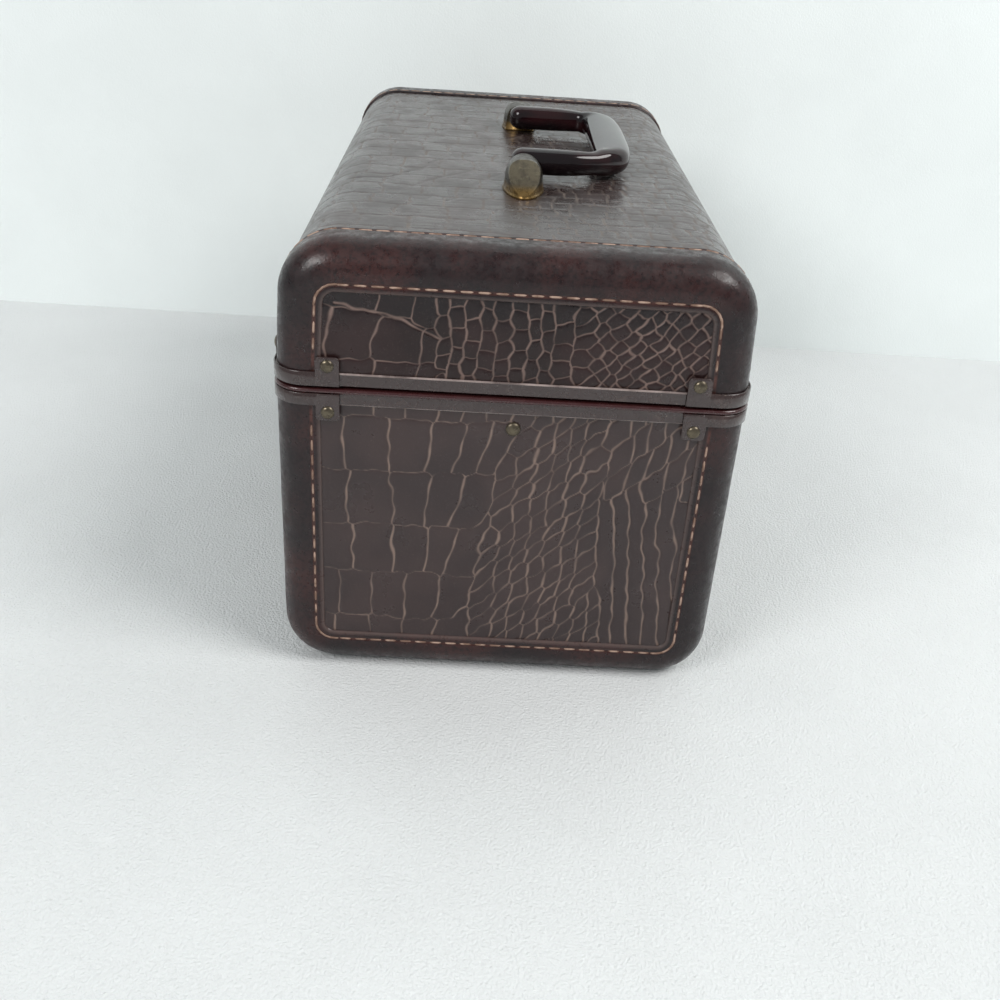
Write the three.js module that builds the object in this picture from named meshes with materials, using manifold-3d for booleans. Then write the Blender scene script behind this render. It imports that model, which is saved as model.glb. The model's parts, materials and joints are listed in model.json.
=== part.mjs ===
// Cosmetic train case: a long hard case with a hinged lid, two drop-over hasps, slotted lid
// stays, a folding resin handle, a fixed mirror and a lift-out tray.
// Millimetres, +Z up. z = 0 is the floor, X runs along the case and the front faces -Y.
// Pieces are drawn from the parting plane, where lid and base meet, and raised to it at the end.

import * as THREE from 'three';
import { mergeVertices } from 'three/addons/utils/BufferGeometryUtils.js';
import Module from 'manifold-3d';

const wasm = await Module();
wasm.setup();

// Envelope of the case, measured on the covered boards
const caseLength = 364;
const caseDepth = 207;
const partingHeight = 152;
const lidHeight = 62.5;
const lidLeanIn = 2.8;
const baseCornerRadius = 24;
const lidCornerRadius = 25;
const endRollRadius = 12;
const cornerSteps = 6;
const rollSteps = 4;
const plateSteps = 3;

// Layers of the walls, from the outside in
const bindingThickness = 1.3;
const coverThickness = 1.2;
const boardThickness = 4;
const liningThickness = 0.8;
const glueLine = 0.15;
const runningGap = 0.3;
const overrun = 6;
const weldDistance = 0.0001;

// Leather binding rolled over the edges of the ends
const bindingOnSide = 24;
const bindingOnEnd = 19.5;
const bindingSkive = 1;
const bindingEdge = 0.5;

// Metal closure rims
const partingGap = 1.2;
const rimWeb = 2.2;
const baseFlange = 8;
const lidFlange = 6.5;
const rimBead = 0.75;
const tongueGap = 0.4;
const tongueThickness = 1.2;
const tongueHeight = 6;
const tongueSkirt = 9;

// Corner clips, one at each corner of each rim
const clip = {
  thickness: 0.8,
  alongEnd: 28,
  alongSide: 28,
  tabWidth: 10.5,
  tabReach: 7,
  tabRadius: 2,
  tabSteps: 2,
  cornerSteps: 4,
};
const rivet = { radius: 3, height: 1.3, steps: 8, rings: 2 };

// Hardware on the long sides
const hardwareStand = 7.3;
const hardwareSpacing = 190;

const hinge = {
  width: 46,
  middle: 16,
  gap: 0.3,
  knuckle: 2.4,
  pin: 1.1,
  bore: 1.35,
  leaf: 1.2,
  clear: 2.9,
  drop: 34,
  rise: 30,
  joggle: 2.4,
  rivetRow: 7,
  rivetSpread: 15,
  rivetRadius: 2,
  rivetHeight: 0.85,
  steps: 10,
};

const haspPlate = { width: 38, thickness: 1.2, low: 9, high: 28, knuckleLength: 8 };
const hasp = {
  width: 26,
  thickness: 1.5,
  axisHeight: 13,
  knuckle: 2.2,
  pin: 1,
  bore: 1.25,
  reach: 39,
  corner: 7,
  forkGap: 0.45,
  crown: 0.5,
  crownInset: 3,
};
const lock = {
  width: 38,
  top: -10.5,
  bottom: -43,
  thickness: 1.35,
  corner: 5,
  bossWidth: 27,
  bossTop: -13.5,
  bossBottom: -39.5,
  bossCorner: 4,
  faceGap: 0.4,
  studHeight: -20,
  stud: 3,
  studStand: 1.4,
  rivetInset: 3.2,
  rivetRadius: 1.6,
  rivetHeight: 0.8,
};
const slide = {
  height: -33,
  width: 10,
  tall: 5,
  travel: 4,
  play: 0.3,
  stand: 1.9,
  baseWidth: 14,
  baseTall: 7,
  baseThickness: 0.8,
  corner: 1.25,
  ribs: 3,
  ribWidth: 1,
  ribStand: 0.5,
};

// Folding handle and its two posts
const handle = {
  armSpacing: 107.5,
  armWidth: 12.5,
  thickness: 13,
  reach: 57,
  gripWidth: 20.5,
  elbow: 15,
  innerCorner: 3,
  bevel: 4,
  swellShare: 0.1,
  curveSteps: 4,
  bevelSteps: 3,
  pivotLift: 9.2,
  offBack: 1.8,
};
const shoulderInsets = [[0, 25], [8, 7], [16.5, 2.5]];
const gripInset = 25;
const gripPull = 15;
const post = {
  reach: 34,
  nose: 22,
  width: 19.5,
  height: 14.3,
  faceFoot: 2,
  faceRun: 19.5,
  steps: 18,
  power: 2.3,
};
const postHeightShares = [0, 0.16, 0.5, 0.76, 0.92, 1];
const postWidthShares = [1, 0.985, 0.95, 0.84, 0.6, 0.24];
const postLengthShares = [1, 0.99, 0.98, 0.95, 0.86, 0.74];
const handlePin = { radius: 2.1, bore: 2.35, inArm: 9, inPost: 8, steps: 10 };

// Lid stays: a slotted bar hangs from the lid and slides on a stud in the base
const stay = {
  studDrop: 16,
  studOff: 1,
  pivotRise: 49.5,
  opening: 85,
  bar: 1.5,
  barGap: 3.6,
  barWidth: 9.6,
  studRadius: 2.3,
  slotGap: 0.35,
  slotEnd: 2.3,
  headRadius: 4.6,
  headThickness: 1.4,
  headGap: 0.3,
  pinRadius: 2,
  pinGap: 0.3,
  plateWide: 14,
  plateThickness: 0.9,
  plateLow: 28,
  plateBend: 43,
  armRise: 4.2,
  outerHead: 3.3,
  outerStand: 1.5,
  boreGap: 0.2,
  shoulder: 4,
  steps: 8,
  endSteps: 4,
};

// Lift-out tray and the cleats that carry it
const tray = {
  topDrop: 4,
  height: 34,
  endGap: 1.6,
  sideGap: 3.5,
  wall: 2,
  floor: 2,
  rib: 4,
  corner: 10,
  pocketCorner: 5,
  cornerSteps: 2,
  frontPockets: 3,
  backPockets: 2,
  ribOff: -8,
  gripWidth: 90,
  gripRise: 14,
  gripCorner: 8,
  slotWidth: 54,
  slotTall: 10,
  slotDrop: 3,
};
const cleat = { endInset: 17, reach: 8, lip: 4, height: 10 };

// Mirror on the inside of the lid
const mirror = { width: 222, height: 124, frame: 8, thickness: 3, glass: 2, gap: 0.3, corner: 10 };

const halfLength = caseLength / 2;
const halfDepth = caseDepth / 2;
const proud = bindingThickness + glueLine;
const boardInset = coverThickness + glueLine;
const boardInner = boardInset + boardThickness;
const liningInset = boardInner + glueLine;
const liningInner = liningInset + liningThickness;
const webTop = partingGap / 2;
const boardEdge = webTop + rimWeb + glueLine;
const tongueOuter = boardInner + tongueGap;
const tongueInner = tongueOuter + tongueThickness;
const hardwareFace = halfDepth + hardwareStand;
const wallSlope = lidLeanIn / lidHeight;

const base = {
  up: -1,
  open: halfDepth,
  closed: halfDepth,
  height: partingHeight - proud,
  radius: baseCornerRadius,
  flange: baseFlange,
  skirt: tongueSkirt,
};
const lid = {
  up: 1,
  open: halfDepth,
  closed: halfDepth - lidLeanIn,
  height: lidHeight,
  radius: lidCornerRadius,
  flange: lidFlange,
  skirt: tongueHeight,
};

const finishes = {
  board: { color: 0x9a7a52, roughness: 0.8, metalness: 0 },
  croc: { color: 0x4b3532, roughness: 0.35, metalness: 0 },
  binding: { color: 0x2e1c1b, roughness: 0.45, metalness: 0 },
  rim: { color: 0x4a3733, roughness: 0.4, metalness: 0.5 },
  brass: { color: 0x7d6f4c, roughness: 0.4, metalness: 0.9 },
  resin: { color: 0x2a0f10, roughness: 0.12, metalness: 0 },
  steel: { color: 0x9c9a94, roughness: 0.4, metalness: 1 },
  lining: { color: 0xb98f7c, roughness: 0.6, metalness: 0 },
  tray: { color: 0xa87f6c, roughness: 0.6, metalness: 0 },
  mirror: { color: 0xd8dde0, roughness: 0.03, metalness: 1 },
};

// Mesh helpers

function signedVolume(points, triangles) {
  let volume = 0;
  for (let t = 0; t < triangles.length; t += 3) {
    const [a, b, c] = [0, 1, 2].map((k) => points[triangles[t + k]]);
    volume += a.dot(new THREE.Vector3().crossVectors(b, c));
  }
  return volume;
}

function meshFrom(points, triangles) {
  const wound = triangles.slice();
  if (signedVolume(points, wound) < 0) wound.reverse();
  const geometry = new THREE.BufferGeometry().setFromPoints(points);
  geometry.setIndex(wound);
  return geometry;
}

// Triangles of a flat outline, wound the way its points run
function fill(outline) {
  const way = Math.sign(THREE.ShapeUtils.area(outline));
  return THREE.ShapeUtils.triangulateShape(outline, []).map(([a, b, c]) => {
    const turn = Math.sign(THREE.ShapeUtils.area([outline[a], outline[b], outline[c]]));
    return turn === way ? [a, b, c] : [a, c, b];
  });
}

// Skin over a row of rings; with no cap outline the last ring joins the first
function loft(rings, capOutline) {
  const count = rings[0].length;
  const triangles = [];
  const spans = capOutline ? rings.length - 1 : rings.length;
  for (let r = 0; r < spans; r += 1) {
    const here = r * count;
    const next = ((r + 1) % rings.length) * count;
    for (let k = 0; k < count; k += 1) {
      const beside = (k + 1) % count;
      triangles.push(here + k, here + beside, next + beside);
      triangles.push(here + k, next + beside, next + k);
    }
  }
  if (capOutline) {
    const last = (rings.length - 1) * count;
    for (const [a, b, c] of fill(capOutline)) {
      triangles.push(a, c, b);
      triangles.push(last + a, last + b, last + c);
    }
  }
  return meshFrom(rings.flat(), triangles);
}

function solidFrom(geometry) {
  const bare = geometry.clone();
  for (const name of Object.keys(bare.attributes)) {
    if (name !== 'position') bare.deleteAttribute(name);
  }
  const welded = mergeVertices(bare, weldDistance);
  const index = welded.index.array;
  const kept = [];
  for (let t = 0; t < index.length; t += 3) {
    const [a, b, c] = [index[t], index[t + 1], index[t + 2]];
    if (a !== b && b !== c && c !== a) kept.push(a, b, c);
  }
  return new wasm.Manifold(new wasm.Mesh({
    numProp: 3,
    vertProperties: new Float32Array(welded.attributes.position.array),
    triVerts: new Uint32Array(kept),
  }));
}

// Joins the first list and cuts the second out of it
function shaped(added, cut = []) {
  const joined = added.map(solidFrom).reduce((whole, piece) => whole.add(piece));
  const carved = cut.map(solidFrom).reduce((whole, piece) => whole.subtract(piece), joined);
  const mesh = carved.getMesh();
  const geometry = new THREE.BufferGeometry();
  geometry.setAttribute('position', new THREE.BufferAttribute(new Float32Array(mesh.vertProperties), 3));
  geometry.setIndex(Array.from(mesh.triVerts));
  return geometry;
}

function mirrored(geometry, alongX, alongY) {
  const copy = geometry.clone().scale(alongX, alongY, 1);
  if (alongX * alongY < 0) copy.setIndex(Array.from(copy.index.array).reverse());
  return copy;
}

function addPiece(group, name, geometry, finish) {
  const mesh = new THREE.Mesh(geometry, new THREE.MeshStandardMaterial(finishes[finish]));
  mesh.name = name;
  group.add(mesh);
  return mesh;
}

function block(from, to) {
  const size = new THREE.Vector3().subVectors(to, from);
  const middle = new THREE.Vector3().addVectors(from, to).divideScalar(2);
  return new THREE.BoxGeometry(size.x, size.y, size.z).translate(middle.x, middle.y, middle.z);
}

const at = (x, y, z) => new THREE.Vector3(x, y, z);

// A bar along X whose section is drawn as [distance out from the middle, height] pairs
function barAlongX(section, fromX, toX, side = 1) {
  const rings = [fromX, toX].map((x) => section.map(([out, z]) => at(x, side * out, z)));
  return loft(rings, section.map(([out, z]) => new THREE.Vector2(out, z)));
}

// A bar along Y whose section is drawn as [x, height] pairs
function barAlongY(section, fromY, toY) {
  const rings = [fromY, toY].map((y) => section.map(([x, z]) => at(x, y, z)));
  return loft(rings, section.map(([x, z]) => new THREE.Vector2(x, z)));
}

// A piece turned about an axis along X, drawn as [radius, distance along X] pairs
function turnedAlongX(profile, steps, y, z) {
  const points = profile.map(([radius, x]) => new THREE.Vector2(radius, x));
  return new THREE.LatheGeometry(points, steps).rotateZ(-Math.PI / 2).translate(0, y, z);
}

function rodAlongX(radius, fromX, toX, steps, y, z) {
  return turnedAlongX([[0, fromX], [radius, fromX], [radius, toX], [0, toX]], steps, y, z);
}

function roundedShape(width, height, radius) {
  const w = width / 2;
  const h = height / 2;
  const shape = new THREE.Shape();
  shape.moveTo(-w + radius, -h);
  shape.lineTo(w - radius, -h);
  shape.absarc(w - radius, -h + radius, radius, -Math.PI / 2, 0);
  shape.lineTo(w, h - radius);
  shape.absarc(w - radius, h - radius, radius, 0, Math.PI / 2);
  shape.lineTo(-w + radius, h);
  shape.absarc(-w + radius, h - radius, radius, Math.PI / 2, Math.PI);
  shape.lineTo(-w, -h + radius);
  shape.absarc(-w + radius, -h + radius, radius, Math.PI, Math.PI * 1.5);
  return shape;
}

function sheetUp(shape, fromZ, toZ, curveSegments) {
  const depth = toZ - fromZ;
  return new THREE.ExtrudeGeometry(shape, { depth, bevelEnabled: false, curveSegments })
    .translate(0, 0, fromZ);
}

// A plate that stands on edge: its outline lies in X and Z, its thickness runs along Y
function plateOut(shape, fromOut, toOut, side, x, z, curveSegments = plateSteps) {
  const plate = sheetUp(shape, 0, toOut - fromOut, curveSegments).rotateX(Math.PI / 2);
  plate.translate(x, 0, z);
  return side < 0 ? plate.translate(0, -fromOut, 0) : plate.translate(0, toOut, 0);
}

// Low dome of a rivet head whose foot stands at distance foot, facing along +X
function domeProfile(radius, height, foot, sink) {
  const profile = [[0, foot - sink], [radius, foot - sink]];
  for (let k = 0; k < rivet.rings; k += 1) {
    const turn = (Math.PI / 2) * (k / rivet.rings);
    profile.push([radius * Math.cos(turn), foot + height * Math.sin(turn)]);
  }
  profile.push([0, foot + height]);
  return profile;
}

function domeAlongX(radius, height, foot, sink, y, z) {
  return turnedAlongX(domeProfile(radius, height, foot, sink), rivet.steps, y, z);
}

// The same dome facing out along Y, to the front or to the back
function domeAlongY(radius, height, foot, sink, side, x, z) {
  const dome = domeAlongX(radius, height, foot, sink, 0, 0).rotateZ(side * Math.PI / 2);
  return dome.translate(x, 0, z);
}

// Walls of a half case

// Places along the cross-section, from the open edge of the back side over to the front side
function stationsOf(half, start) {
  const lean = Math.atan2(half.open - half.closed, half.height);
  const rise = half.height - half.radius;
  const centre = half.open - (half.radius + rise * Math.sin(lean)) / Math.cos(lean);
  const back = [{
    y: half.open - start * Math.tan(lean), t: start, inY: -1 / Math.cos(lean), inT: 0,
  }];
  for (let k = 0; k <= cornerSteps; k += 1) {
    const turn = lean + (Math.PI / 2 - lean) * (k / cornerSteps);
    back.push({
      y: centre + half.radius * Math.cos(turn),
      t: rise + half.radius * Math.sin(turn),
      inY: -Math.cos(turn),
      inT: -Math.sin(turn),
    });
  }
  const front = back.map((s) => ({ ...s, y: -s.y, inY: -s.inY })).reverse();
  return [...back, ...front];
}

function placed(half, station, x, inset) {
  return at(x, station.y + station.inY * inset, half.up * (station.t + station.inT * inset));
}

// The turn from the long sides over on to the end face, at a given depth below the covering
function endRoll(inset) {
  const radius = endRollRadius - inset;
  const points = [];
  for (let k = 0; k <= rollSteps; k += 1) {
    const turn = (Math.PI / 2) * (k / rollSteps);
    points.push({
      x: halfLength - endRollRadius + radius * Math.sin(turn),
      inset: endRollRadius - radius * Math.cos(turn),
    });
  }
  return points;
}

// Solid block of a half case, cut back evenly by inset and starting a little off the parting plane
function envelope(half, inset, start) {
  const right = endRoll(inset);
  const left = right.map((p) => ({ x: -p.x, inset: p.inset })).reverse();
  const stations = stationsOf(half, start);
  const rings = [...left, ...right].map((p) => stations.map((s) => placed(half, s, p.x, p.inset)));
  return loft(rings, rings[0].map((p) => new THREE.Vector2(p.y, p.z)));
}

// A strip whose section is drawn as [x, inset] pairs, carried round the cross-section
function carriedRound(half, start, section) {
  const rings = stationsOf(half, start).map((s) => section.map(([x, i]) => placed(half, s, x, i)));
  return loft(rings, section.map(([x, i]) => new THREE.Vector2(x, i)));
}

function boardShell(half) {
  return shaped(
    [envelope(half, boardInset, boardEdge)],
    [envelope(half, boardInner, boardEdge - overrun)],
  );
}

function coveringOf(half) {
  const reach = halfLength - endRollRadius;
  const section = [[-reach, 0], [reach, 0], [reach, coverThickness], [-reach, coverThickness]];
  return carriedRound(half, boardEdge, section);
}

function endPanelOf(half) {
  const stations = stationsOf(half, boardEdge);
  const rings = [halfLength - coverThickness, halfLength]
    .map((x) => stations.map((s) => placed(half, s, x, endRollRadius)));
  return loft(rings, rings[0].map((p) => new THREE.Vector2(p.y, p.z)));
}

function bindingOf(half) {
  const sideEdge = halfLength - bindingOnSide;
  const outer = endRoll(-proud).map((p) => [p.x, p.inset]);
  const inner = endRoll(-glueLine).map((p) => [p.x, p.inset]).reverse();
  const section = [
    [sideEdge, -glueLine - bindingEdge],
    [sideEdge + bindingSkive, -proud],
    ...outer,
    [halfLength + proud, bindingOnEnd - bindingSkive],
    [halfLength + glueLine + bindingEdge, bindingOnEnd],
    [halfLength + glueLine, bindingOnEnd],
    ...inner,
    [sideEdge, -glueLine],
  ];
  return carriedRound(half, half.flange + glueLine, section);
}

function liningOf(half) {
  const start = half.skirt + runningGap;
  return shaped(
    [envelope(half, liningInset, start)],
    [envelope(half, liningInner, start - overrun)],
  );
}

// Rims and corner clips, which run round the case at the parting plane

function planCorner(endReach, sideReach, steps) {
  const stations = [];
  if (endReach) stations.push({ x: halfLength, y: halfDepth - endReach, inX: -1, inY: 0 });
  for (let k = 0; k <= steps; k += 1) {
    const turn = (Math.PI / 2) * (k / steps);
    stations.push({
      x: halfLength - endRollRadius + endRollRadius * Math.cos(turn),
      y: halfDepth - endRollRadius + endRollRadius * Math.sin(turn),
      inX: -Math.cos(turn),
      inY: -Math.sin(turn),
    });
  }
  if (sideReach) stations.push({ x: halfLength - sideReach, y: halfDepth, inX: 0, inY: -1 });
  return stations;
}

function planRing(steps) {
  const corner = planCorner(0, 0, steps);
  const flip = (sx, sy) => corner.map((s) => ({
    x: sx * s.x, y: sy * s.y, inX: sx * s.inX, inY: sy * s.inY,
  }));
  return [...flip(1, 1), ...flip(-1, 1).reverse(), ...flip(-1, -1), ...flip(1, -1).reverse()];
}

function sweptInPlan(stations, section, ringed) {
  const rings = stations.map((s) => section.map(([i, z]) => at(s.x + s.inX * i, s.y + s.inY * i, z)));
  return loft(rings, ringed ? null : section.map(([i, z]) => new THREE.Vector2(i, z)));
}

function baseRim() {
  const webLow = webTop + rimWeb;
  const section = [
    [-proud, -baseFlange],
    [-proud, -webLow],
    [-proud - rimBead, -webLow + rimBead],
    [-proud - rimBead, -webTop - rimBead / 2],
    [-proud, -webTop],
    [tongueOuter, -webTop],
    [tongueOuter, tongueHeight],
    [tongueInner, tongueHeight],
    [tongueInner, -tongueSkirt],
    [liningInset, -tongueSkirt],
    [liningInset, -webLow],
    [-glueLine, -webLow],
    [-glueLine, -baseFlange],
  ];
  return sweptInPlan(planRing(clip.cornerSteps), section, true);
}

function lidRim() {
  const webHigh = webTop + rimWeb;
  const section = [
    [-proud, webTop],
    [-proud, lidFlange],
    [-glueLine, lidFlange],
    [-glueLine, webHigh],
    [boardInner, webHigh],
    [boardInner, webTop],
  ];
  return sweptInPlan(planRing(clip.cornerSteps), section, true);
}

function tabShape(height) {
  const w = clip.tabWidth / 2;
  const shape = new THREE.Shape();
  shape.moveTo(-w, 0);
  shape.lineTo(w, 0);
  shape.lineTo(w, height - clip.tabRadius);
  shape.absarc(w - clip.tabRadius, height - clip.tabRadius, clip.tabRadius, 0, Math.PI / 2);
  shape.lineTo(-w + clip.tabRadius, height);
  shape.absarc(-w + clip.tabRadius, height - clip.tabRadius, clip.tabRadius, Math.PI / 2, Math.PI);
  return shape;
}

// The clip at the back right corner: a band round the corner and a riveted tab on each face
function cornerClip(half) {
  const inner = -proud - glueLine;
  const outer = inner - clip.thickness;
  const near = half.up < 0 ? webTop + rimWeb + glueLine : webTop;
  const far = half.flange + rimBead;
  const section = [[inner, half.up * near], [outer, half.up * near],
    [outer, half.up * far], [inner, half.up * far]];
  const band = sweptInPlan(planCorner(clip.alongEnd, clip.alongSide, clip.cornerSteps), section, false);
  const tabTall = far + clip.tabReach - near;
  const tabFlat = sheetUp(tabShape(tabTall), 0, clip.thickness, clip.tabSteps);
  const upright = half.up > 0 ? Math.PI / 2 : -Math.PI / 2;
  const tabOut = half.up > 0 ? clip.thickness : 0;
  const side = tabFlat.clone().rotateX(upright);
  side.translate(halfLength - clip.alongSide + clip.tabWidth / 2, halfDepth - inner + tabOut, half.up * near);
  const end = tabFlat.clone().rotateX(upright).rotateZ(-Math.PI / 2);
  end.translate(halfLength - inner + tabOut, halfDepth - clip.alongEnd + clip.tabWidth / 2, half.up * near);
  const rivetZ = half.up * (near + tabTall - rivet.radius - clip.tabRadius / 2);
  const sink = clip.thickness / 2;
  const endRivet = domeAlongX(
    rivet.radius, rivet.height, halfLength - outer, sink,
    halfDepth - clip.alongEnd + clip.tabWidth / 2, rivetZ,
  );
  const sideRivet = domeAlongY(
    rivet.radius, rivet.height, halfDepth - outer, sink, 1,
    halfLength - clip.alongSide + clip.tabWidth / 2, rivetZ,
  );
  return shaped([band, side, end, endRivet, sideRivet]);
}

// Hinges at the back

const hingeAxis = hardwareFace - hinge.knuckle;

function hingeLeaf(half) {
  const leafInner = hingeAxis - hinge.knuckle;
  const leafOuter = leafInner + hinge.leaf;
  const slope = half.up > 0 ? wallSlope : 0;
  const wall = (z) => halfDepth + glueLine - slope * z;
  const turnIn = half.flange + glueLine;
  const landed = turnIn + hinge.joggle;
  const end = half.up > 0 ? hinge.rise : hinge.drop;
  const section = [
    [leafOuter, hinge.clear],
    [leafOuter, turnIn + hinge.leaf / 2],
    [wall(landed) + hinge.leaf, landed + hinge.leaf / 2],
    [wall(end) + hinge.leaf, end],
    [wall(end), end],
    [wall(landed), landed],
    [leafInner, turnIn],
    [leafInner, hinge.clear],
  ].map(([out, z]) => [out, half.up * z]);
  const stem = [
    [leafInner, 0], [leafOuter, 0], [leafOuter, half.up * (hinge.clear + hinge.leaf)],
    [leafInner, half.up * (hinge.clear + hinge.leaf)],
  ];
  const edge = hinge.width / 2;
  const middle = hinge.middle / 2;
  const spans = half.up > 0
    ? [[-middle, middle]]
    : [[-edge, -middle - hinge.gap], [middle + hinge.gap, edge]];
  const added = [barAlongX(section, -edge, edge)];
  const cut = [];
  for (const [from, to] of spans) {
    added.push(barAlongX(stem, from, to));
    added.push(rodAlongX(hinge.knuckle, from, to, hinge.steps, hingeAxis, 0));
    cut.push(rodAlongX(hinge.bore, from - overrun, to + overrun, hinge.steps, hingeAxis, 0));
  }
  const row = end - hinge.rivetRow;
  for (const k of [-1, 0, 1]) {
    added.push(domeAlongY(
      hinge.rivetRadius, hinge.rivetHeight, wall(row) + hinge.leaf, hinge.leaf / 2, 1,
      k * hinge.rivetSpread, half.up * row,
    ));
  }
  return shaped(added, cut);
}

function hingePin() {
  const end = hinge.width / 2;
  return shaped([rodAlongX(hinge.pin, -end, end, hinge.steps, hingeAxis, 0)]);
}

// Hasps and locks at the front

const haspAxis = hardwareFace - hasp.crown - hasp.knuckle;
const haspOuter = haspAxis + hasp.knuckle;
const haspInner = haspOuter - hasp.thickness;

function haspKnuckles(spans, radius) {
  return spans.map(([from, to]) => rodAlongX(
    radius, from, to, hinge.steps, -haspAxis, hasp.axisHeight,
  ));
}

// Plate on the lid with the two outer knuckles
function haspHanger() {
  const high = haspPlate.high;
  const low = haspPlate.low;
  const wall = (z) => halfDepth + glueLine - wallSlope * z;
  const section = [
    [wall(low), low], [wall(low) + haspPlate.thickness, low],
    [wall(high) + haspPlate.thickness, high], [wall(high), high],
  ];
  const arm = [
    [wall(hasp.axisHeight) + haspPlate.thickness / 2, hasp.axisHeight - hasp.knuckle],
    [haspAxis, hasp.axisHeight - hasp.knuckle],
    [haspAxis, hasp.axisHeight + hasp.knuckle],
    [wall(hasp.axisHeight) + haspPlate.thickness / 2, hasp.axisHeight + hasp.knuckle],
  ];
  const end = haspPlate.width / 2;
  const inner = end - haspPlate.knuckleLength;
  const spans = [[-end, -inner], [inner, end]];
  const added = [barAlongX(section, -end, end, -1)];
  for (const [from, to] of spans) added.push(barAlongX(arm, from, to, -1));
  added.push(...haspKnuckles(spans, hasp.knuckle));
  const row = high - hasp.knuckle - rivet.radius / 2;
  for (const k of [-1, 1]) {
    added.push(domeAlongY(
      lock.rivetRadius, lock.rivetHeight, wall(row) + haspPlate.thickness,
      haspPlate.thickness / 2, -1, k * (end - lock.rivetInset), row,
    ));
  }
  const bores = haspKnuckles(spans.map(([from, to]) => [from - overrun, to + overrun]), hasp.bore);
  return shaped(added, bores);
}

// The hasp hangs from the pin, and its fork drops over the stud of the lock
function haspBody() {
  const end = haspPlate.width / 2 - haspPlate.knuckleLength - hinge.gap;
  const span = [[-end, end]];
  const top = hasp.axisHeight;
  const bottom = top - hasp.reach;
  const tall = top - bottom;
  const middle = (top + bottom) / 2;
  const leafShape = roundedShape(hasp.width, tall + hasp.corner, hasp.corner);
  const leaf = plateOut(leafShape, haspInner, haspOuter, -1, 0, middle + hasp.corner / 2);
  const trimTop = block(
    at(-hasp.width, -hardwareFace - overrun, top),
    at(hasp.width, -haspInner + overrun, top + hasp.corner + overrun),
  );
  const shoulders = [-1, 1].map((k) => block(
    at(k < 0 ? -hasp.width : end, -hardwareFace - overrun, top - hinge.clear - hasp.crown),
    at(k < 0 ? -end : hasp.width, -haspInner + overrun, top + overrun),
  ));
  const crownTop = top - 2 * hasp.crownInset;
  const crownBottom = bottom + hasp.crownInset;
  const crownShape = roundedShape(
    hasp.width - 2 * hasp.crownInset, crownTop - crownBottom, hasp.corner - hasp.crownInset,
  );
  const crown = plateOut(
    crownShape, haspOuter - hasp.crown, hardwareFace, -1, 0, (crownTop + crownBottom) / 2,
  );
  const forkWidth = lock.stud + hasp.forkGap;
  const fork = rodAlongX(forkWidth, 0, 2 * overrun, hinge.steps, 0, 0)
    .rotateZ(-Math.PI / 2).translate(0, -haspInner + overrun, lock.studHeight);
  const mouth = block(
    at(-forkWidth, -hardwareFace - overrun, bottom - overrun),
    at(forkWidth, -haspInner + overrun, lock.studHeight),
  );
  const leafCut = shaped([leaf, crown], [trimTop, ...shoulders]);
  const bores = haspKnuckles(span.map(([from, to]) => [from - overrun, to + overrun]), hasp.bore);
  return shaped([leafCut, ...haspKnuckles(span, hasp.knuckle)], [fork, mouth, ...bores]);
}

function haspPin() {
  const end = haspPlate.width / 2;
  return shaped(haspKnuckles([[-end, end]], hasp.pin));
}

const bossFace = haspInner - lock.faceGap;

function lockPlate() {
  const tall = lock.top - lock.bottom;
  const back = halfDepth + glueLine;
  const face = back + lock.thickness;
  const plate = plateOut(
    roundedShape(lock.width, tall, lock.corner), back, face, -1, 0, (lock.top + lock.bottom) / 2,
  );
  const bossTall = lock.bossTop - lock.bossBottom;
  const boss = plateOut(
    roundedShape(lock.bossWidth, bossTall, lock.bossCorner), back, bossFace, -1,
    0, (lock.bossTop + lock.bossBottom) / 2,
  );
  const stud = domeAlongY(
    lock.stud, lock.studStand / 2, bossFace + lock.studStand / 2, lock.studStand, -1, 0, lock.studHeight,
  );
  const added = [plate, boss, stud];
  for (const sx of [-1, 1]) {
    for (const z of [lock.top - lock.rivetInset, lock.bottom + lock.rivetInset]) {
      added.push(domeAlongY(
        lock.rivetRadius, lock.rivetHeight, face, lock.thickness / 2, -1,
        sx * (lock.width / 2 - lock.rivetInset), z,
      ));
    }
  }
  const window = block(
    at(-slide.width / 2 - slide.play, -hardwareFace, slide.height - slide.tall / 2 - slide.play),
    at(slide.width / 2 + slide.travel + slide.play, -face, slide.height + slide.tall / 2 + slide.play),
  );
  const chamber = block(
    at(-slide.baseWidth / 2 - slide.play, -face - slide.baseThickness - 2 * slide.play,
      slide.height - slide.baseTall / 2 - slide.play),
    at(slide.baseWidth / 2 + slide.travel + slide.play, -face,
      slide.height + slide.baseTall / 2 + slide.play),
  );
  return shaped(added, [window, chamber]);
}

// Thumb slide: a ribbed button on a wider foot that the lock's housing keeps in
function lockSlide() {
  const foot = halfDepth + glueLine + lock.thickness + slide.play;
  const top = bossFace + slide.stand;
  const button = plateOut(
    roundedShape(slide.width, slide.tall, slide.corner), foot, top - slide.ribStand, -1, 0, slide.height,
  );
  const base = block(
    at(-slide.baseWidth / 2, -foot - slide.baseThickness, slide.height - slide.baseTall / 2),
    at(slide.baseWidth / 2, -foot, slide.height + slide.baseTall / 2),
  );
  const added = [button, base];
  for (let k = 0; k < slide.ribs; k += 1) {
    const x = (k - (slide.ribs - 1) / 2) * 2 * slide.ribWidth;
    added.push(block(
      at(x - slide.ribWidth / 2, -top, slide.height - slide.tall / 2 + slide.ribWidth / 2),
      at(x + slide.ribWidth / 2, -foot, slide.height + slide.tall / 2 - slide.ribWidth / 2),
    ));
  }
  return shaped(added);
}

// Handle

const armOuter = (handle.armSpacing + handle.armWidth) / 2;
const armInner = (handle.armSpacing - handle.armWidth) / 2;

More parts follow.
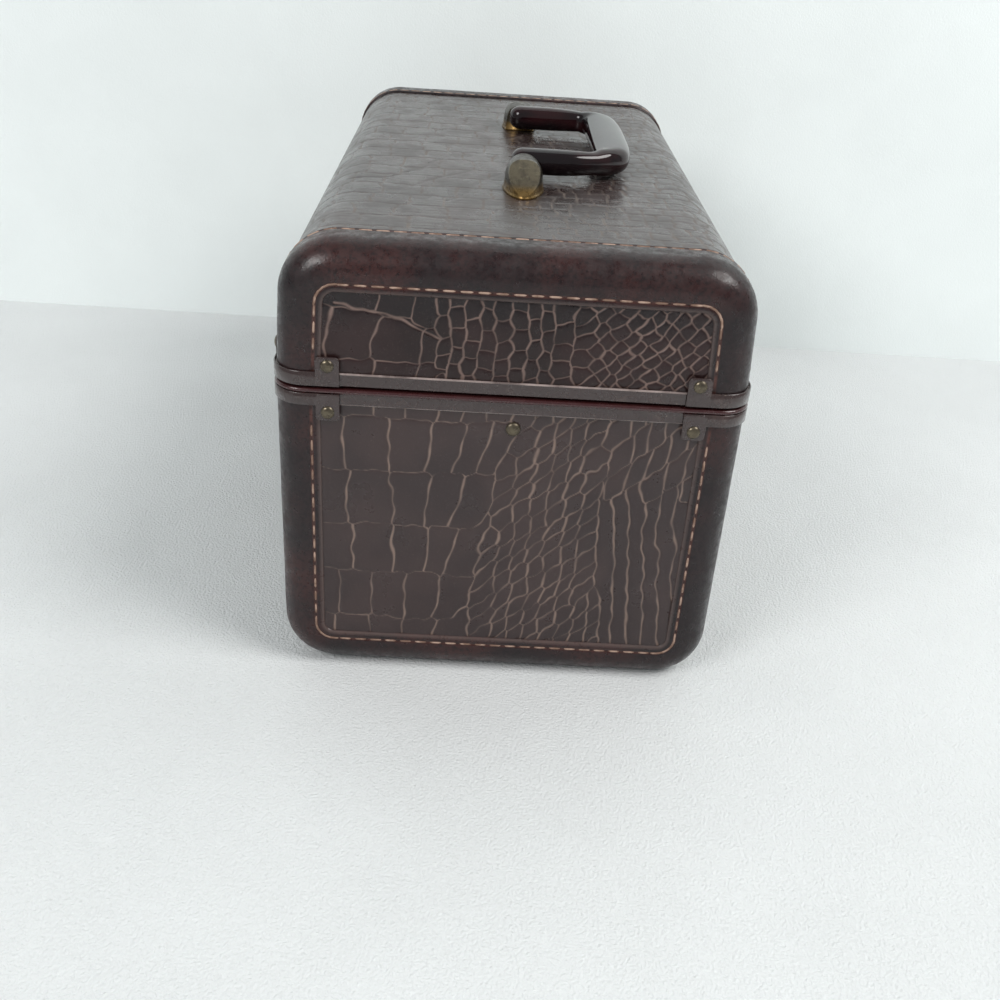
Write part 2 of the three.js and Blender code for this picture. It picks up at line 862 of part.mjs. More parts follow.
// Outline of the folded handle seen from above: rounded ends on the pins, arms that draw in to the
// grip in one sweep, and a straight inner edge
function handleShape() {
  const tip = handle.armWidth / 2;
  const mid = handle.armSpacing / 2;
  const inner = handle.reach - handle.gripWidth;
  const cornerX = armInner - handle.innerCorner;
  const cornerY = inner - handle.innerCorner;
  const [pull, lead, knee] = shoulderInsets.map(([x, y]) => [armOuter - x, handle.reach - y]);
  const leave = [armOuter - gripInset, handle.reach];
  const shape = new THREE.Shape();
  shape.moveTo(-armOuter, 0);
  shape.lineTo(-armOuter, handle.elbow);
  shape.bezierCurveTo(-pull[0], pull[1], -lead[0], lead[1], -knee[0], knee[1]);
  shape.bezierCurveTo(-leave[0], leave[1], -gripPull, handle.reach, 0, handle.reach);
  shape.bezierCurveTo(gripPull, handle.reach, leave[0], leave[1], knee[0], knee[1]);
  shape.bezierCurveTo(lead[0], lead[1], pull[0], pull[1], armOuter, handle.elbow);
  shape.lineTo(armOuter, 0);
  shape.absarc(mid, 0, tip, 0, -Math.PI, true);
  shape.lineTo(armInner, cornerY);
  shape.absarc(cornerX, cornerY, handle.innerCorner, 0, Math.PI / 2);
  shape.lineTo(-cornerX, inner);
  shape.absarc(-cornerX, cornerY, handle.innerCorner, Math.PI / 2, Math.PI);
  shape.lineTo(-armInner, 0);
  shape.absarc(-mid, 0, tip, 0, -Math.PI, true);
  return shape;
}

// The grip is a little thicker at its middle than the arms are
function swell(geometry) {
  const position = geometry.attributes.position;
  for (let k = 0; k < position.count; k += 1) {
    const along = Math.cos(Math.min(1, Math.abs(position.getX(k)) / armOuter) * Math.PI / 2);
    const out = Math.min(1, Math.max(0, position.getY(k) / handle.reach));
    position.setZ(k, position.getZ(k) * (1 + handle.swellShare * along * out));
  }
  return geometry;
}

function handleBody() {
  const bar = new THREE.ExtrudeGeometry(handleShape(), {
    depth: handle.thickness - 2 * handle.bevel,
    bevelThickness: handle.bevel,
    bevelSize: handle.bevel,
    bevelOffset: -handle.bevel,
    bevelSegments: handle.bevelSteps,
    curveSegments: handle.curveSteps,
  }).translate(0, 0, handle.bevel - handle.thickness / 2);
  const bores = [-1, 1].map((side) => rodAlongX(
    handlePin.bore,
    side < 0 ? -armOuter - overrun : armOuter - handlePin.inArm,
    side < 0 ? -armOuter + handlePin.inArm : armOuter + overrun,
    handlePin.steps, 0, 0,
  ));
  return shaped([swell(bar)], bores);
}

// Half-bullet post whose nose is cut by a sloped face, drawn at the right of the handle
function handlePost() {
  const inner = armOuter + runningGap;
  const middle = inner + post.reach - post.nose;
  const rings = postHeightShares.map((heightShare, k) => {
    const ring = [];
    for (let s = 0; s < post.steps; s += 1) {
      const turn = (2 * Math.PI * s) / post.steps;
      const c = Math.cos(turn);
      const d = Math.sin(turn);
      const stretch = (Math.abs(c) ** post.power + Math.abs(d) ** post.power) ** (-1 / post.power);
      ring.push(at(
        middle + post.nose * postLengthShares[k] * c * stretch,
        (post.width / 2) * postWidthShares[k] * d * stretch,
        glueLine - handle.pivotLift + (post.height - glueLine) * heightShare,
      ));
    }
    return ring;
  });
  const body = loft(rings, rings[0].map((p) => new THREE.Vector2(p.x, p.y)));
  const low = -handle.pivotLift - overrun;
  const high = post.height - handle.pivotLift;
  const faceFoot = at(middle + post.nose - post.faceFoot, 0, -handle.pivotLift);
  const slope = -post.faceRun / post.height;
  const faceAt = (z) => faceFoot.x + slope * (z - faceFoot.z);
  const beyond = middle + 2 * post.nose;
  const outline = [
    [faceAt(low), low], [beyond, low], [beyond, high + overrun], [faceAt(high + overrun), high + overrun],
  ];
  const cutFace = barAlongY(outline, -post.width, post.width);
  const cutInside = block(
    at(0, -post.width, low), at(inner, post.width, high + overrun),
  );
  const bore = rodAlongX(handlePin.bore, armOuter, inner + handlePin.inPost, handlePin.steps, 0, 0);
  return shaped([body], [cutFace, cutInside, bore]);
}

function pinOfHandle() {
  const from = armOuter - handlePin.inArm + runningGap;
  const to = armOuter + handlePin.inPost;
  return shaped([rodAlongX(handlePin.radius, from, to, handlePin.steps, 0, 0)]);
}

// Lid stays, drawn at the right end. Stud and pivot lie on one circle about the hinge axis, so
// the bar turns by half of the lid's angle and its slot stays on the stud.

const studY = stay.studOff;
const studZ = -stay.studDrop;
const stayRadius = Math.hypot(hingeAxis - studY, studZ);
const pivotZ = stay.pivotRise;
const pivotY = hingeAxis - Math.sqrt(stayRadius ** 2 - pivotZ ** 2);
const closedSpan = Math.hypot(pivotY - studY, pivotZ - studZ);
const closedAngle = 2 * Math.asin(closedSpan / (2 * stayRadius));
const openSpan = 2 * stayRadius * Math.sin((closedAngle + THREE.MathUtils.degToRad(stay.opening)) / 2);
const barOuter = halfLength - tongueInner - stay.barGap;
const barInner = barOuter - stay.bar;
const headOuter = barInner - stay.headGap;
const headInner = headOuter - stay.headThickness;

function stayStud() {
  const wall = halfLength - liningInner - runningGap;
  const profile = [
    [0, headInner], [stay.headRadius, headInner], [stay.headRadius, headOuter],
    [stay.studRadius, headOuter], [stay.studRadius, barOuter + stay.headGap],
    [stay.shoulder, barOuter + stay.headGap], [stay.shoulder, wall], [stay.studRadius, wall],
    [stay.studRadius, halfLength + glueLine], [stay.outerHead, halfLength + glueLine],
  ];
  for (let k = 1; k < rivet.rings; k += 1) {
    const turn = (Math.PI / 2) * (k / rivet.rings);
    profile.push([stay.outerHead * Math.cos(turn), halfLength + glueLine + stay.outerStand * Math.sin(turn)]);
  }
  profile.push([0, halfLength + glueLine + stay.outerStand]);
  return shaped([turnedAlongX(profile, stay.steps, studY, studZ)]);
}

function studHole() {
  return rodAlongX(
    stay.studRadius + stay.boreGap, headInner, halfLength + overrun, stay.steps, studY, studZ,
  );
}

// Strap riveted inside the lid's end: it steps in past the rounded edge and carries the bar's pin
function stayBracket() {
  const wallOuter = halfLength - liningInner - glueLine;
  const wallInner = wallOuter - stay.plateThickness;
  const armFace = barOuter + stay.headGap;
  const armBack = armFace + stay.plateThickness;
  const step = wallInner - armFace;
  const top = pivotZ + stay.armRise;
  const strap = barAlongY([
    [wallOuter, stay.plateLow], [wallOuter, stay.plateBend],
    [armBack, stay.plateBend + step], [armBack, top],
    [armFace, top], [armFace, stay.plateBend + step - stay.plateThickness / 2],
    [wallInner, stay.plateBend - stay.plateThickness / 2], [wallInner, stay.plateLow],
  ], pivotY - stay.plateWide / 2, pivotY + stay.plateWide / 2);
  const headRadius = stay.headRadius - stay.headGap;
  const sunk = armFace + stay.plateThickness / 2;
  const pin = turnedAlongX([
    [0, headInner], [headRadius, headInner], [headRadius, headOuter],
    [stay.pinRadius, headOuter], [stay.pinRadius, sunk], [0, sunk],
  ], stay.steps, pivotY, pivotZ);
  return shaped([strap, pin]);
}

function roundEnded(length, width) {
  const shape = new THREE.Shape();
  shape.absarc(0, 0, width / 2, -Math.PI / 2, Math.PI / 2);
  shape.absarc(-length, 0, width / 2, Math.PI / 2, Math.PI * 1.5);
  return shape;
}

// The bar is drawn flat with its pivot at the origin, stood up in the YZ plane and hung at the pivot
function stayBar() {
  const slotHalf = stay.studRadius + stay.slotGap;
  const length = openSpan + slotHalf + stay.slotEnd - stay.barWidth / 2;
  const bar = sheetUp(roundEnded(length, stay.barWidth), 0, stay.bar, stay.endSteps);
  const slot = sheetUp(
    roundEnded(openSpan - closedSpan, 2 * slotHalf), -overrun, overrun, stay.endSteps,
  ).translate(-closedSpan, 0, 0);
  const eye = new THREE.CylinderGeometry(
    stay.pinRadius + stay.pinGap, stay.pinRadius + stay.pinGap, 2 * overrun, stay.steps,
  ).rotateX(Math.PI / 2);
  const flat = shaped([bar], [slot, eye]);
  const towards = Math.atan2(pivotZ - studZ, pivotY - studY);
  flat.rotateZ(towards).rotateX(Math.PI / 2).rotateZ(Math.PI / 2);
  return flat.translate(barInner, pivotY, pivotZ);
}

// Tray and cleats

const trayLength = caseLength - 2 * (halfLength - headInner) - 2 * tray.endGap;
const trayDepth = caseDepth - 2 * tongueInner - 2 * tray.sideGap;
const trayTop = -tray.topDrop;
const trayBottom = trayTop - tray.height;

function pockets() {
  const half = trayDepth / 2 - tray.wall;
  const rows = [
    { from: -half, to: tray.ribOff - tray.rib / 2, count: tray.frontPockets },
    { from: tray.ribOff + tray.rib / 2, to: half, count: tray.backPockets },
  ];
  return rows.flatMap(({ from, to, count }) => {
    const width = (trayLength - (count + 1) * tray.wall) / count;
    return Array.from({ length: count }, (_, k) => ({
      x: -trayLength / 2 + tray.wall + width / 2 + k * (width + tray.wall),
      y: (from + to) / 2,
      width,
      depth: to - from,
    }));
  });
}

function trayBody() {
  const outer = roundedShape(trayLength, trayDepth, tray.corner);
  const shell = sheetUp(outer, trayBottom, trayTop, tray.cornerSteps);
  const hollows = pockets().map((p) => sheetUp(
    roundedShape(p.width, p.depth, tray.pocketCorner), trayBottom + tray.floor, trayTop + overrun,
    tray.cornerSteps,
  ).translate(p.x, p.y, 0));
  const gripTall = tray.height + tray.gripRise - tray.floor;
  const grip = plateOut(
    roundedShape(tray.gripWidth, gripTall, tray.gripCorner), 0, tray.rib, -1,
    0, trayBottom + tray.floor + gripTall / 2, tray.cornerSteps,
  ).translate(0, tray.ribOff + tray.rib / 2, 0);
  const foot = block(
    at(-tray.gripWidth / 2, tray.ribOff - tray.rib / 2, trayBottom),
    at(tray.gripWidth / 2, tray.ribOff + tray.rib / 2, trayTop),
  );
  const hand = plateOut(
    roundedShape(tray.slotWidth, tray.slotTall, tray.slotTall / 2 - glueLine), 0, tray.rib + 2 * overrun, -1,
    0, trayTop + tray.gripRise - tray.slotDrop - tray.slotTall / 2, tray.cornerSteps,
  ).translate(0, tray.ribOff + tray.rib / 2 + overrun, 0);
  return shaped([shaped([shell], hollows), grip, foot], [hand]);
}

function cleatBar() {
  const wall = halfDepth - liningInner - glueLine;
  const top = trayBottom - runningGap;
  const section = [
    [wall, top], [wall - cleat.reach, top], [wall - cleat.reach, top - cleat.lip],
    [wall, top - cleat.height],
  ];
  const end = trayLength / 2 - cleat.endInset;
  return shaped([barAlongX(section, -end, end)]);
}

// Mirror and its frame under the top of the lid

function mirrorFrame() {
  const top = lidHeight - liningInner - glueLine;
  const shape = roundedShape(mirror.width, mirror.height, mirror.corner);
  const hole = roundedShape(
    mirror.width - 2 * mirror.frame, mirror.height - 2 * mirror.frame, mirror.corner / 2,
  );
  shape.holes.push(hole);
  return shaped([sheetUp(shape, top - mirror.thickness, top, tray.cornerSteps)]);
}

function mirrorGlass() {
  const top = lidHeight - liningInner - glueLine;
  const shape = roundedShape(
    mirror.width - 2 * mirror.frame - 2 * mirror.gap,
    mirror.height - 2 * mirror.frame - 2 * mirror.gap, mirror.corner / 2,
  );
  return shaped([sheetUp(shape, top - mirror.glass, top, tray.cornerSteps)]);
}

// Assembly

const trainCase = new THREE.Group();
const atParting = new THREE.Group();
atParting.position.z = partingHeight;
trainCase.add(atParting);

const hole = studHole();
const bothHoles = [hole, mirrored(hole, -1, 1)];
const ends = [['left', -1], ['right', 1]];

addPiece(atParting, 'base_box', shaped([boardShell(base)], bothHoles), 'board');
addPiece(atParting, 'base_covering', coveringOf(base), 'croc');
addPiece(atParting, 'base_lining', shaped([liningOf(base)], bothHoles), 'lining');
addPiece(atParting, 'base_rim', baseRim(), 'rim');
addPiece(atParting, 'lid_box', boardShell(lid), 'board');
addPiece(atParting, 'lid_covering', coveringOf(lid), 'croc');
addPiece(atParting, 'lid_lining', liningOf(lid), 'lining');
addPiece(atParting, 'lid_rim', lidRim(), 'rim');
addPiece(atParting, 'mirror_frame', mirrorFrame(), 'rim');
addPiece(atParting, 'mirror', mirrorGlass(), 'mirror');
addPiece(atParting, 'tray', trayBody(), 'tray');

const endPieces = {
  base_end_panel: [shaped([endPanelOf(base)], [hole]), 'croc'],
  lid_end_panel: [endPanelOf(lid), 'croc'],
  base_binding: [bindingOf(base), 'binding'],
  lid_binding: [bindingOf(lid), 'binding'],
  stay_stud: [stayStud(), 'brass'],
  stay_bracket: [stayBracket(), 'steel'],
  stay_bar: [stayBar(), 'steel'],
};
for (const [name, [geometry, finish]] of Object.entries(endPieces)) {
  for (const [end, sign] of ends) {
    addPiece(atParting, `${name}_${end}`, mirrored(geometry, sign, 1), finish);
  }
}

const clips = { base: cornerClip(base), lid: cornerClip(lid) };
for (const [half, geometry] of Object.entries(clips)) {
  for (const [face, facing] of [['front', -1], ['back', 1]]) {
    for (const [end, sign] of ends) {
      addPiece(atParting, `${half}_clip_${face}_${end}`, mirrored(geometry, sign, facing), 'rim');
    }
  }
}

addPiece(atParting, 'tray_cleat_back', cleatBar(), 'board');
addPiece(atParting, 'tray_cleat_front', mirrored(cleatBar(), 1, -1), 'board');

const sidePieces = {
  base_hinge_leaf: [hingeLeaf(base), 'steel'],
  lid_hinge_leaf: [hingeLeaf(lid), 'steel'],
  hinge_pin: [hingePin(), 'steel'],
  hasp_plate: [haspHanger(), 'brass'],
  hasp: [haspBody(), 'brass'],
  hasp_pin: [haspPin(), 'brass'],
  lock_plate: [lockPlate(), 'brass'],
  lock_slide: [lockSlide(), 'brass'],
};
for (const [end, sign] of ends) {
  const station = new THREE.Group();
  station.position.x = (sign * hardwareSpacing) / 2;
  atParting.add(station);
  for (const [name, [geometry, finish]] of Object.entries(sidePieces)) {
    addPiece(station, `${name}_${end}`, mirrored(geometry, sign, 1), finish);
  }
}

const handleMount = new THREE.Group();
handleMount.position.set(0, handle.offBack, lidHeight + handle.pivotLift);
atParting.add(handleMount);
addPiece(handleMount, 'handle', handleBody(), 'resin');
for (const [end, sign] of ends) {
  addPiece(handleMount, `handle_post_${end}`, mirrored(handlePost(), sign, 1), 'brass');
  addPiece(handleMount, `handle_pin_${end}`, mirrored(pinOfHandle(), sign, 1), 'steel');
}

export default trainCase;
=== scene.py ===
# %% [markdown]
# A cosmetic train case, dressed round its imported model. The frame holds every piece at its true place and
# size, so each finish here goes straight on to it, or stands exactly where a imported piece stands.

import json
from math import atan2, cos, pi, radians, sin
from types import SimpleNamespace

import bmesh
import bpy
import numpy as np
from mathutils import Matrix, Quaternion, Vector

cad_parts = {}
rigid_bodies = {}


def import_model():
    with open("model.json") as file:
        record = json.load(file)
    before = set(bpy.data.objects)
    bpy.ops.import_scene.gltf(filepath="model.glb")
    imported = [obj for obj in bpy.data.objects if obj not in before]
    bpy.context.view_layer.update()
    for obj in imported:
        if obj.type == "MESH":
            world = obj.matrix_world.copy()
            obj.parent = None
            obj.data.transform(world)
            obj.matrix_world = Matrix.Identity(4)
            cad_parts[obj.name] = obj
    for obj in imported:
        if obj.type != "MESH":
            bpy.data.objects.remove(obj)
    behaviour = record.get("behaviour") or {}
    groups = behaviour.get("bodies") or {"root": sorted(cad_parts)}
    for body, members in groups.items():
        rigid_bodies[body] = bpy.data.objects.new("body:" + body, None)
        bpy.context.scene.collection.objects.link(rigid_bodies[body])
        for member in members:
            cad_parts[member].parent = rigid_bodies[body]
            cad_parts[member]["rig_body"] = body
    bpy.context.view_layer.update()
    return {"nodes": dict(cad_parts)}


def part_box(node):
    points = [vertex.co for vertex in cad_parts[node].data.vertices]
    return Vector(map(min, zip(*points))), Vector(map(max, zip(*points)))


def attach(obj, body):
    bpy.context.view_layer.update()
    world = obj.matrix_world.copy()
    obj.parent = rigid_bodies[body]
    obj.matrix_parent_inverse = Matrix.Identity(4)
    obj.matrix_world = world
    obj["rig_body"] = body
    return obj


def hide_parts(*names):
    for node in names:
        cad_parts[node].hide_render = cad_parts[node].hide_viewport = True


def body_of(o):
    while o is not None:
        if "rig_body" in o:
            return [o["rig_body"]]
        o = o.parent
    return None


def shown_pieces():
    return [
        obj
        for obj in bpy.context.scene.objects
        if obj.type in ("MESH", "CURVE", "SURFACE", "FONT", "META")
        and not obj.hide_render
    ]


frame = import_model()
scene = bpy.context.scene
MM = 0.001

# %% [markdown]
# The camera stands beyond the right-hand end and looks down along the case, turned a little about its own
# axis. It could be set by eye, but a wrong tilt bends every edge of a box, so its place, heading, tilt and
# roll were worked out from the corners of the end face.

# %% Camera
camera_place = Vector((0.63128, -0.01769, 0.35689))
camera_heading, camera_tilt, camera_roll = 0.03374, 0.52014, 0.06953
focal_share = 1.12538


def linked(name, data):
    """A new object in the scene."""
    made = bpy.data.objects.new(name, data)
    scene.collection.objects.link(made)
    return made


camera_data = bpy.data.cameras.new("camera")
camera_data.sensor_width = 36
camera_data.lens = focal_share * camera_data.sensor_width
scene.camera = camera = linked("camera", camera_data)
level = cos(camera_tilt)
aim = Vector((-cos(camera_heading) * level, sin(camera_heading) * level, -sin(camera_tilt)))
camera.rotation_mode = "QUATERNION"
camera.rotation_quaternion = aim.to_track_quat("-Z", "Y") @ Quaternion((0, 0, 1), camera_roll)
camera.location = camera_place
print("lens", round(camera_data.lens, 2), "mm")

# %% [markdown]
# The case is two boxes with one cross-section each, and every covering, binding, rim and lining follows it.
# One function that gives the wall at a distance round the section serves them all, as one former serves the
# whole case in a workshop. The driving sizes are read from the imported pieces.

# %% Walls of the case
def size_of(node):
    """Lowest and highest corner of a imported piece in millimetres."""
    return [Vector(corner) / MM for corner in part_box(node)]


rim_gap, lid_lean_in, end_roll = 1.2, 2.8, 12
half_length = size_of("base_end_panel_right")[1].x
half_depth = size_of("base_covering")[1].y
parting = size_of("lid_rim")[0].z - rim_gap / 2
proud = size_of("base_binding_right")[1].x - half_length
base = SimpleNamespace(
    name="base", up=-1, closed=half_depth, radius=24, flange=8,
    height=parting - size_of("base_covering")[0].z,
)
lid = SimpleNamespace(
    name="lid", up=1, closed=half_depth - lid_lean_in, radius=25, flange=6.5,
    height=size_of("lid_covering")[1].z - parting,
)
halves = (base, lid)
sides = (("left", -1), ("right", 1))
for half in halves:
    half.lean = atan2(half_depth - half.closed, half.height)
    half.rise = half.height - half.radius
    half.flat = half_depth - (half.radius + half.rise * sin(half.lean)) / cos(half.lean)


def section(half, s, inset):
    """Y and Z at distance s round the section from the middle of the top or bottom."""
    along = np.abs(s)
    turn = np.clip((along - half.flat) / half.radius, 0, pi / 2 - half.lean)
    wall = np.maximum(along - half.flat - half.radius * (pi / 2 - half.lean), 0)
    y = np.minimum(along, half.flat) + (half.radius - inset) * np.sin(turn) + wall * sin(half.lean)
    out = half.rise + (half.radius - inset) * np.cos(turn) - wall * cos(half.lean)
    return np.sign(s) * y, parting + half.up * out


def half_girth(half, start):
    """Distance round the section from the middle to a height start off the parting plane."""
    wall = (half.rise + half.radius * sin(half.lean) - start) / cos(half.lean)
    return half.flat + half.radius * (pi / 2 - half.lean) + wall


print("half length", half_length, "half depth", half_depth, "parting", round(parting, 2))

# %% [markdown]
# Sheets such as leather, lining and sheet metal start as a flat bmesh grid that is then laid on its form. A
# grid keeps the faces even, so the relief that comes later reads the same everywhere.

# %% Laying a grid on a form
finish_slots = {}


def keep(mesh, name, body, slot, *nodes):
    """Makes a mesh a piece: it rides on its body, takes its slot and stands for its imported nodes."""
    finish_slots[name] = slot
    piece = linked(name, mesh)
    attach(piece, body)
    if nodes:
        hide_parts(*nodes)
    return piece


def as_mesh(bm, name, smooth=True):
    for face in bm.faces:
        face.smooth = smooth
    mesh = bpy.data.meshes.new(name)
    bm.to_mesh(mesh)
    bm.free()
    return mesh


def tag(mesh, name, values):
    """Keeps a value for each point, for the materials to read."""
    mesh.attributes.new(name, "FLOAT", "POINT").data.foreach_set("value", np.ravel(values).astype(float))


def filled(bm):
    """Closes the open ends of a mesh and returns the new faces."""
    return bmesh.ops.holes_fill(bm, edges=[e for e in bm.edges if e.is_boundary], sides=0)["faces"]


def faced_out(bm):
    bmesh.ops.recalc_face_normals(bm, faces=bm.faces[:])
    return bm


def laid_grid(places, hub, way=1, ringed=False):
    """A grid whose points go to places, rows by columns by X, Y, Z in millimetres. Its faces look away from
    the hub, or towards it where way is -1."""
    rows, columns = places.shape[:2]
    bm = bmesh.new()
    bmesh.ops.create_grid(bm, x_segments=columns - 1, y_segments=rows - 1, size=1)
    for vert in bm.verts:
        column = round((vert.co.x + 1) / 2 * (columns - 1))
        row = round((vert.co.y + 1) / 2 * (rows - 1))
        vert.co = Vector(places[row, column]) * MM
    if ringed:
        bmesh.ops.remove_doubles(bm, verts=bm.verts[:], dist=0.01 * MM)
    bm.normal_update()
    hub = Vector(hub) * MM
    outward = sum(f.normal.dot(f.calc_center_median() - hub) * f.calc_area() for f in bm.faces)
    if outward * way < 0:
        bmesh.ops.reverse_faces(bm, faces=bm.faces[:])
    return bm


def laid_piece(name, half, slot, places, *nodes, hub_x=0, way=1, **values):
    """Lays a grid as a piece of one half, with values for each of its points."""
    mesh = as_mesh(laid_grid(np.stack(places, axis=-1), (hub_x, 0, parting), way), name)
    for kind, each in values.items():
        tag(mesh, kind, each)
    return keep(mesh, name, half.name, slot, *nodes)


def named(start):
    """The objects whose names begin with start."""
    return [o for o in bpy.data.objects if o.name.startswith(start)]


print("sides of the case", [half.name for half in halves], [name for name, _ in sides])

# %% [markdown]
# The panels are leatherette pressed with a reptile skin: large brick-like scales on one side, which break up
# into slanting lozenges and then into long upright ones. An image could carry it, but here every scale is
# placed by itself, and a crease runs wherever two neighbours are equally near. So the creases meet in clean
# three-way corners, as on a real skin, and they have true depth in the mesh.

# %% Noise and single scales
def sway(u, v, size, seed):
    """Smooth noise between about -1 and 1 whose waves are size millimetres long."""
    draw = np.random.default_rng(seed)
    total = 0
    for _ in range(6):
        angle, phase, stretch = draw.uniform(0, 2 * pi), draw.uniform(0, 2 * pi), draw.uniform(0.6, 1.6)
        total = total + np.sin((u * cos(angle) + v * sin(angle)) * 2 * pi * stretch / size + phase)
    return total / 3.2


def step(value, start, end):
    share = np.clip((value - start) / (end - start), 0, 1)
    return share * share * (3 - 2 * share)


def scale_at(u, v, half_wide, half_tall, lean=0.0, climb=0.0, turn=0.0, power=2.4):
    """One scale: its middle and half sizes, the lean of its sides, the climb of its ends, its turn, and how
    square it is (2 is an oval)."""
    turned = np.array([[cos(turn), sin(turn)], [-sin(turn), cos(turn)]])
    shape = np.array([[1 / half_wide, -lean / half_wide], [-climb / half_tall, 1 / half_tall]]) @ turned
    return SimpleNamespace(u=u, v=v, shape=shape, power=power, reach=2.6 * max(half_wide, half_tall))


print("one scale reaches", scale_at(0, 0, 4, 6).reach, "mm")

# %% [markdown]
# Scales come in two arrangements. Bricks stand in rows, each with its own edges, and a lattice is staggered
# and can be turned. A zone of the skin is one of them, kept to the places that belong to it.

# %% Arrangements of scales
def bricks(rows, edges, lean=0.3):
    """Square scales between the heights in rows and the sideways edges of each row. They lean more and more
    towards the right."""
    scales = []
    for top, bottom, places in zip(rows, rows[1:], edges):
        for left, right in zip(places, places[1:]):
            u, v = (left + right) / 2, (top + bottom) / 2
            tilt = lean * float(step(u, -50, -15))
            scales.append(scale_at(u, v, (right - left) / 2, (top - bottom) / 2, tilt, power=7))
    return scales


def lattice(inside, long, wide, turn, power, seed, pointed=1.0, stagger=0.5, jitter=0.13):
    """Rows of scales whose long side stands at turn degrees from level, wherever inside says so."""
    draw = np.random.default_rng(seed)
    turn = radians(turn)
    scales = []
    for i in range(-24, 25):
        for j in range(-40, 41):
            along, beside = (i + (j % 2) * stagger) * long, j * wide
            u = along * cos(turn) - beside * sin(turn) + wide * draw.uniform(-jitter, jitter)
            v = along * sin(turn) + beside * cos(turn) + wide * draw.uniform(-jitter, jitter)
            if inside(u, v):
                half_wide = wide / 2 * pointed * draw.uniform(0.92, 1.1)
                scales.append(scale_at(u, v, half_wide, long / 2, turn=turn - pi / 2, power=power))
    return scales


def brickwork(low, high, tall, wide, seed):
    """Loose rows of bricks of about one size over a box of the skin."""
    draw = np.random.default_rng(seed)
    rows, edges = [high[1]], []
    while rows[-1] > low[1]:
        rows.append(rows[-1] - tall * draw.uniform(0.88, 1.12))
        places = [low[0] - wide * draw.uniform(0, 1)]
        while places[-1] < high[0]:
            places.append(places[-1] + wide * draw.uniform(0.78, 1.22))
        edges.append(places)
    return [s for s in bricks(rows, edges, lean=0) if s.u < high[0]]


print("trial brickwork", len(brickwork((0, 0), (40, 40), 8, 10, 1)), "scales")

# %% [markdown]
# For each point the two nearest scales are found. Nearness is measured in each scale's own size and shape,
# and its slope gives the true distance to the crease and how upright the crease is. Upright creases are the
# stronger ones, because the film was stretched along them.

# %% Creases between scales
def crease_map(u, v, scales):
    """Distance to the nearest crease, how far inside its scale a point is, how upright the crease is from 0
    to 1, and a whole number for it."""
    shape, u, v = u.shape, np.ravel(u), np.ravel(v)
    first, second = np.zeros((2, 4, u.size))
    first[0], second[0] = 50, 50
    for number, scale in enumerate(scales):
        spot = np.flatnonzero((np.abs(u - scale.u) < scale.reach) & (np.abs(v - scale.v) < scale.reach))
        offset = scale.shape @ np.stack([u[spot] - scale.u, v[spot] - scale.v])
        size = np.abs(offset) + 1e-6
        away = (size ** scale.power).sum(0) ** (1 / scale.power)
        slope = scale.shape.T @ (np.sign(offset) * (size / away) ** (scale.power - 1))
        this = np.stack([away, *slope, np.full_like(away, number)])
        closer = away < first[0, spot]
        won = spot[closer]
        second[:, won], first[:, won] = first[:, won], this[:, closer]
        beaten = ~closer & (away < second[0, spot])
        second[:, spot[beaten]] = this[:, beaten]
    inside, *across = (second - first)[:3]
    steepness = np.maximum(np.hypot(*across), 1e-3)
    pair = first[3] * second[3] + first[3] + second[3]
    found = inside / steepness, inside, np.abs(across[0]) / steepness, pair
    return [values.reshape(shape) for values in found]


def hashed(index, seed):
    """A steady number from 0 to 1 for each whole number."""
    wave = np.sin(np.round(index) * 12.9898 + seed * 78.233) * 43758.5453
    return wave - np.floor(wave)


def fold_depth(u, v, folds, width):
    """1 in the middle of a long fold and 0 beside it. A fold is a line of places."""
    depth = np.zeros_like(u)
    for fold in folds:
        for (u_one, v_one), (u_two, v_two) in zip(fold, fold[1:]):
            run_u, run_v = u_two - u_one, v_two - v_one
            share = ((u - u_one) * run_u + (v - v_one) * run_v) / (run_u ** 2 + run_v ** 2)
            share = np.clip(share, 0, 1)
            off = np.hypot(u - u_one - share * run_u, v - v_one - share * run_v)
            depth = np.maximum(depth, np.exp(-(off / width) ** 2))
    return depth


def skin(u, v, press):
    """Crease depth from 0 to 1 and height in millimetres at u across and v up a panel."""
    seed = press.seed
    bent_u = u + 1.3 * sway(u, v, 40, seed) + 0.55 * sway(u, v, 11, seed + 1)
    bent_v = v + 1.1 * sway(u, v, 42, seed + 2) + 0.55 * sway(u, v, 10, seed + 3)
    gap, inside, upright, pair = crease_map(bent_u, bent_v, press.scales)
    steep = step(upright, 0.4, 0.95)
    uneven = (0.68 + 0.32 * hashed(pair, seed)) * np.clip(0.9 + 0.3 * sway(u, v, 16, seed + 4), 0.5, 1)
    width = press.line * (0.75 + 0.35 * steep + 0.2 * sway(u, v, 13, seed + 5))
    creases = uneven * (press.faint + (1 - press.faint) * steep) * np.exp(-(gap / width) ** 2)
    pillow = 1 - np.exp(-inside * press.round)
    fold = fold_depth(bent_u, bent_v, press.folds, 1.2 * press.line)
    fold = fold * np.clip(0.75 + 0.4 * sway(u, v, 14, seed + 6), 0.25, 1)
    sunk = press.sink * np.maximum(creases, fold)
    grain = 0.016 * sway(u, v, 3.1, seed + 7)
    creases = np.maximum(creases, press.fold_pale * fold)
    return np.clip(creases, 0, 1), press.lift * pillow * (1 - fold) - sunk + grain


print("a fold falls off to", fold_depth(np.arange(3.0), np.zeros(3), [[(0, 0), (0, 9)]], 1).round(2))

# %% [markdown]
# Each panel has its own press. The right end was measured row by row, because it is the side that shows. The
# left end is the same kind of skin turned round, and the long coverings are bricks of several sizes.

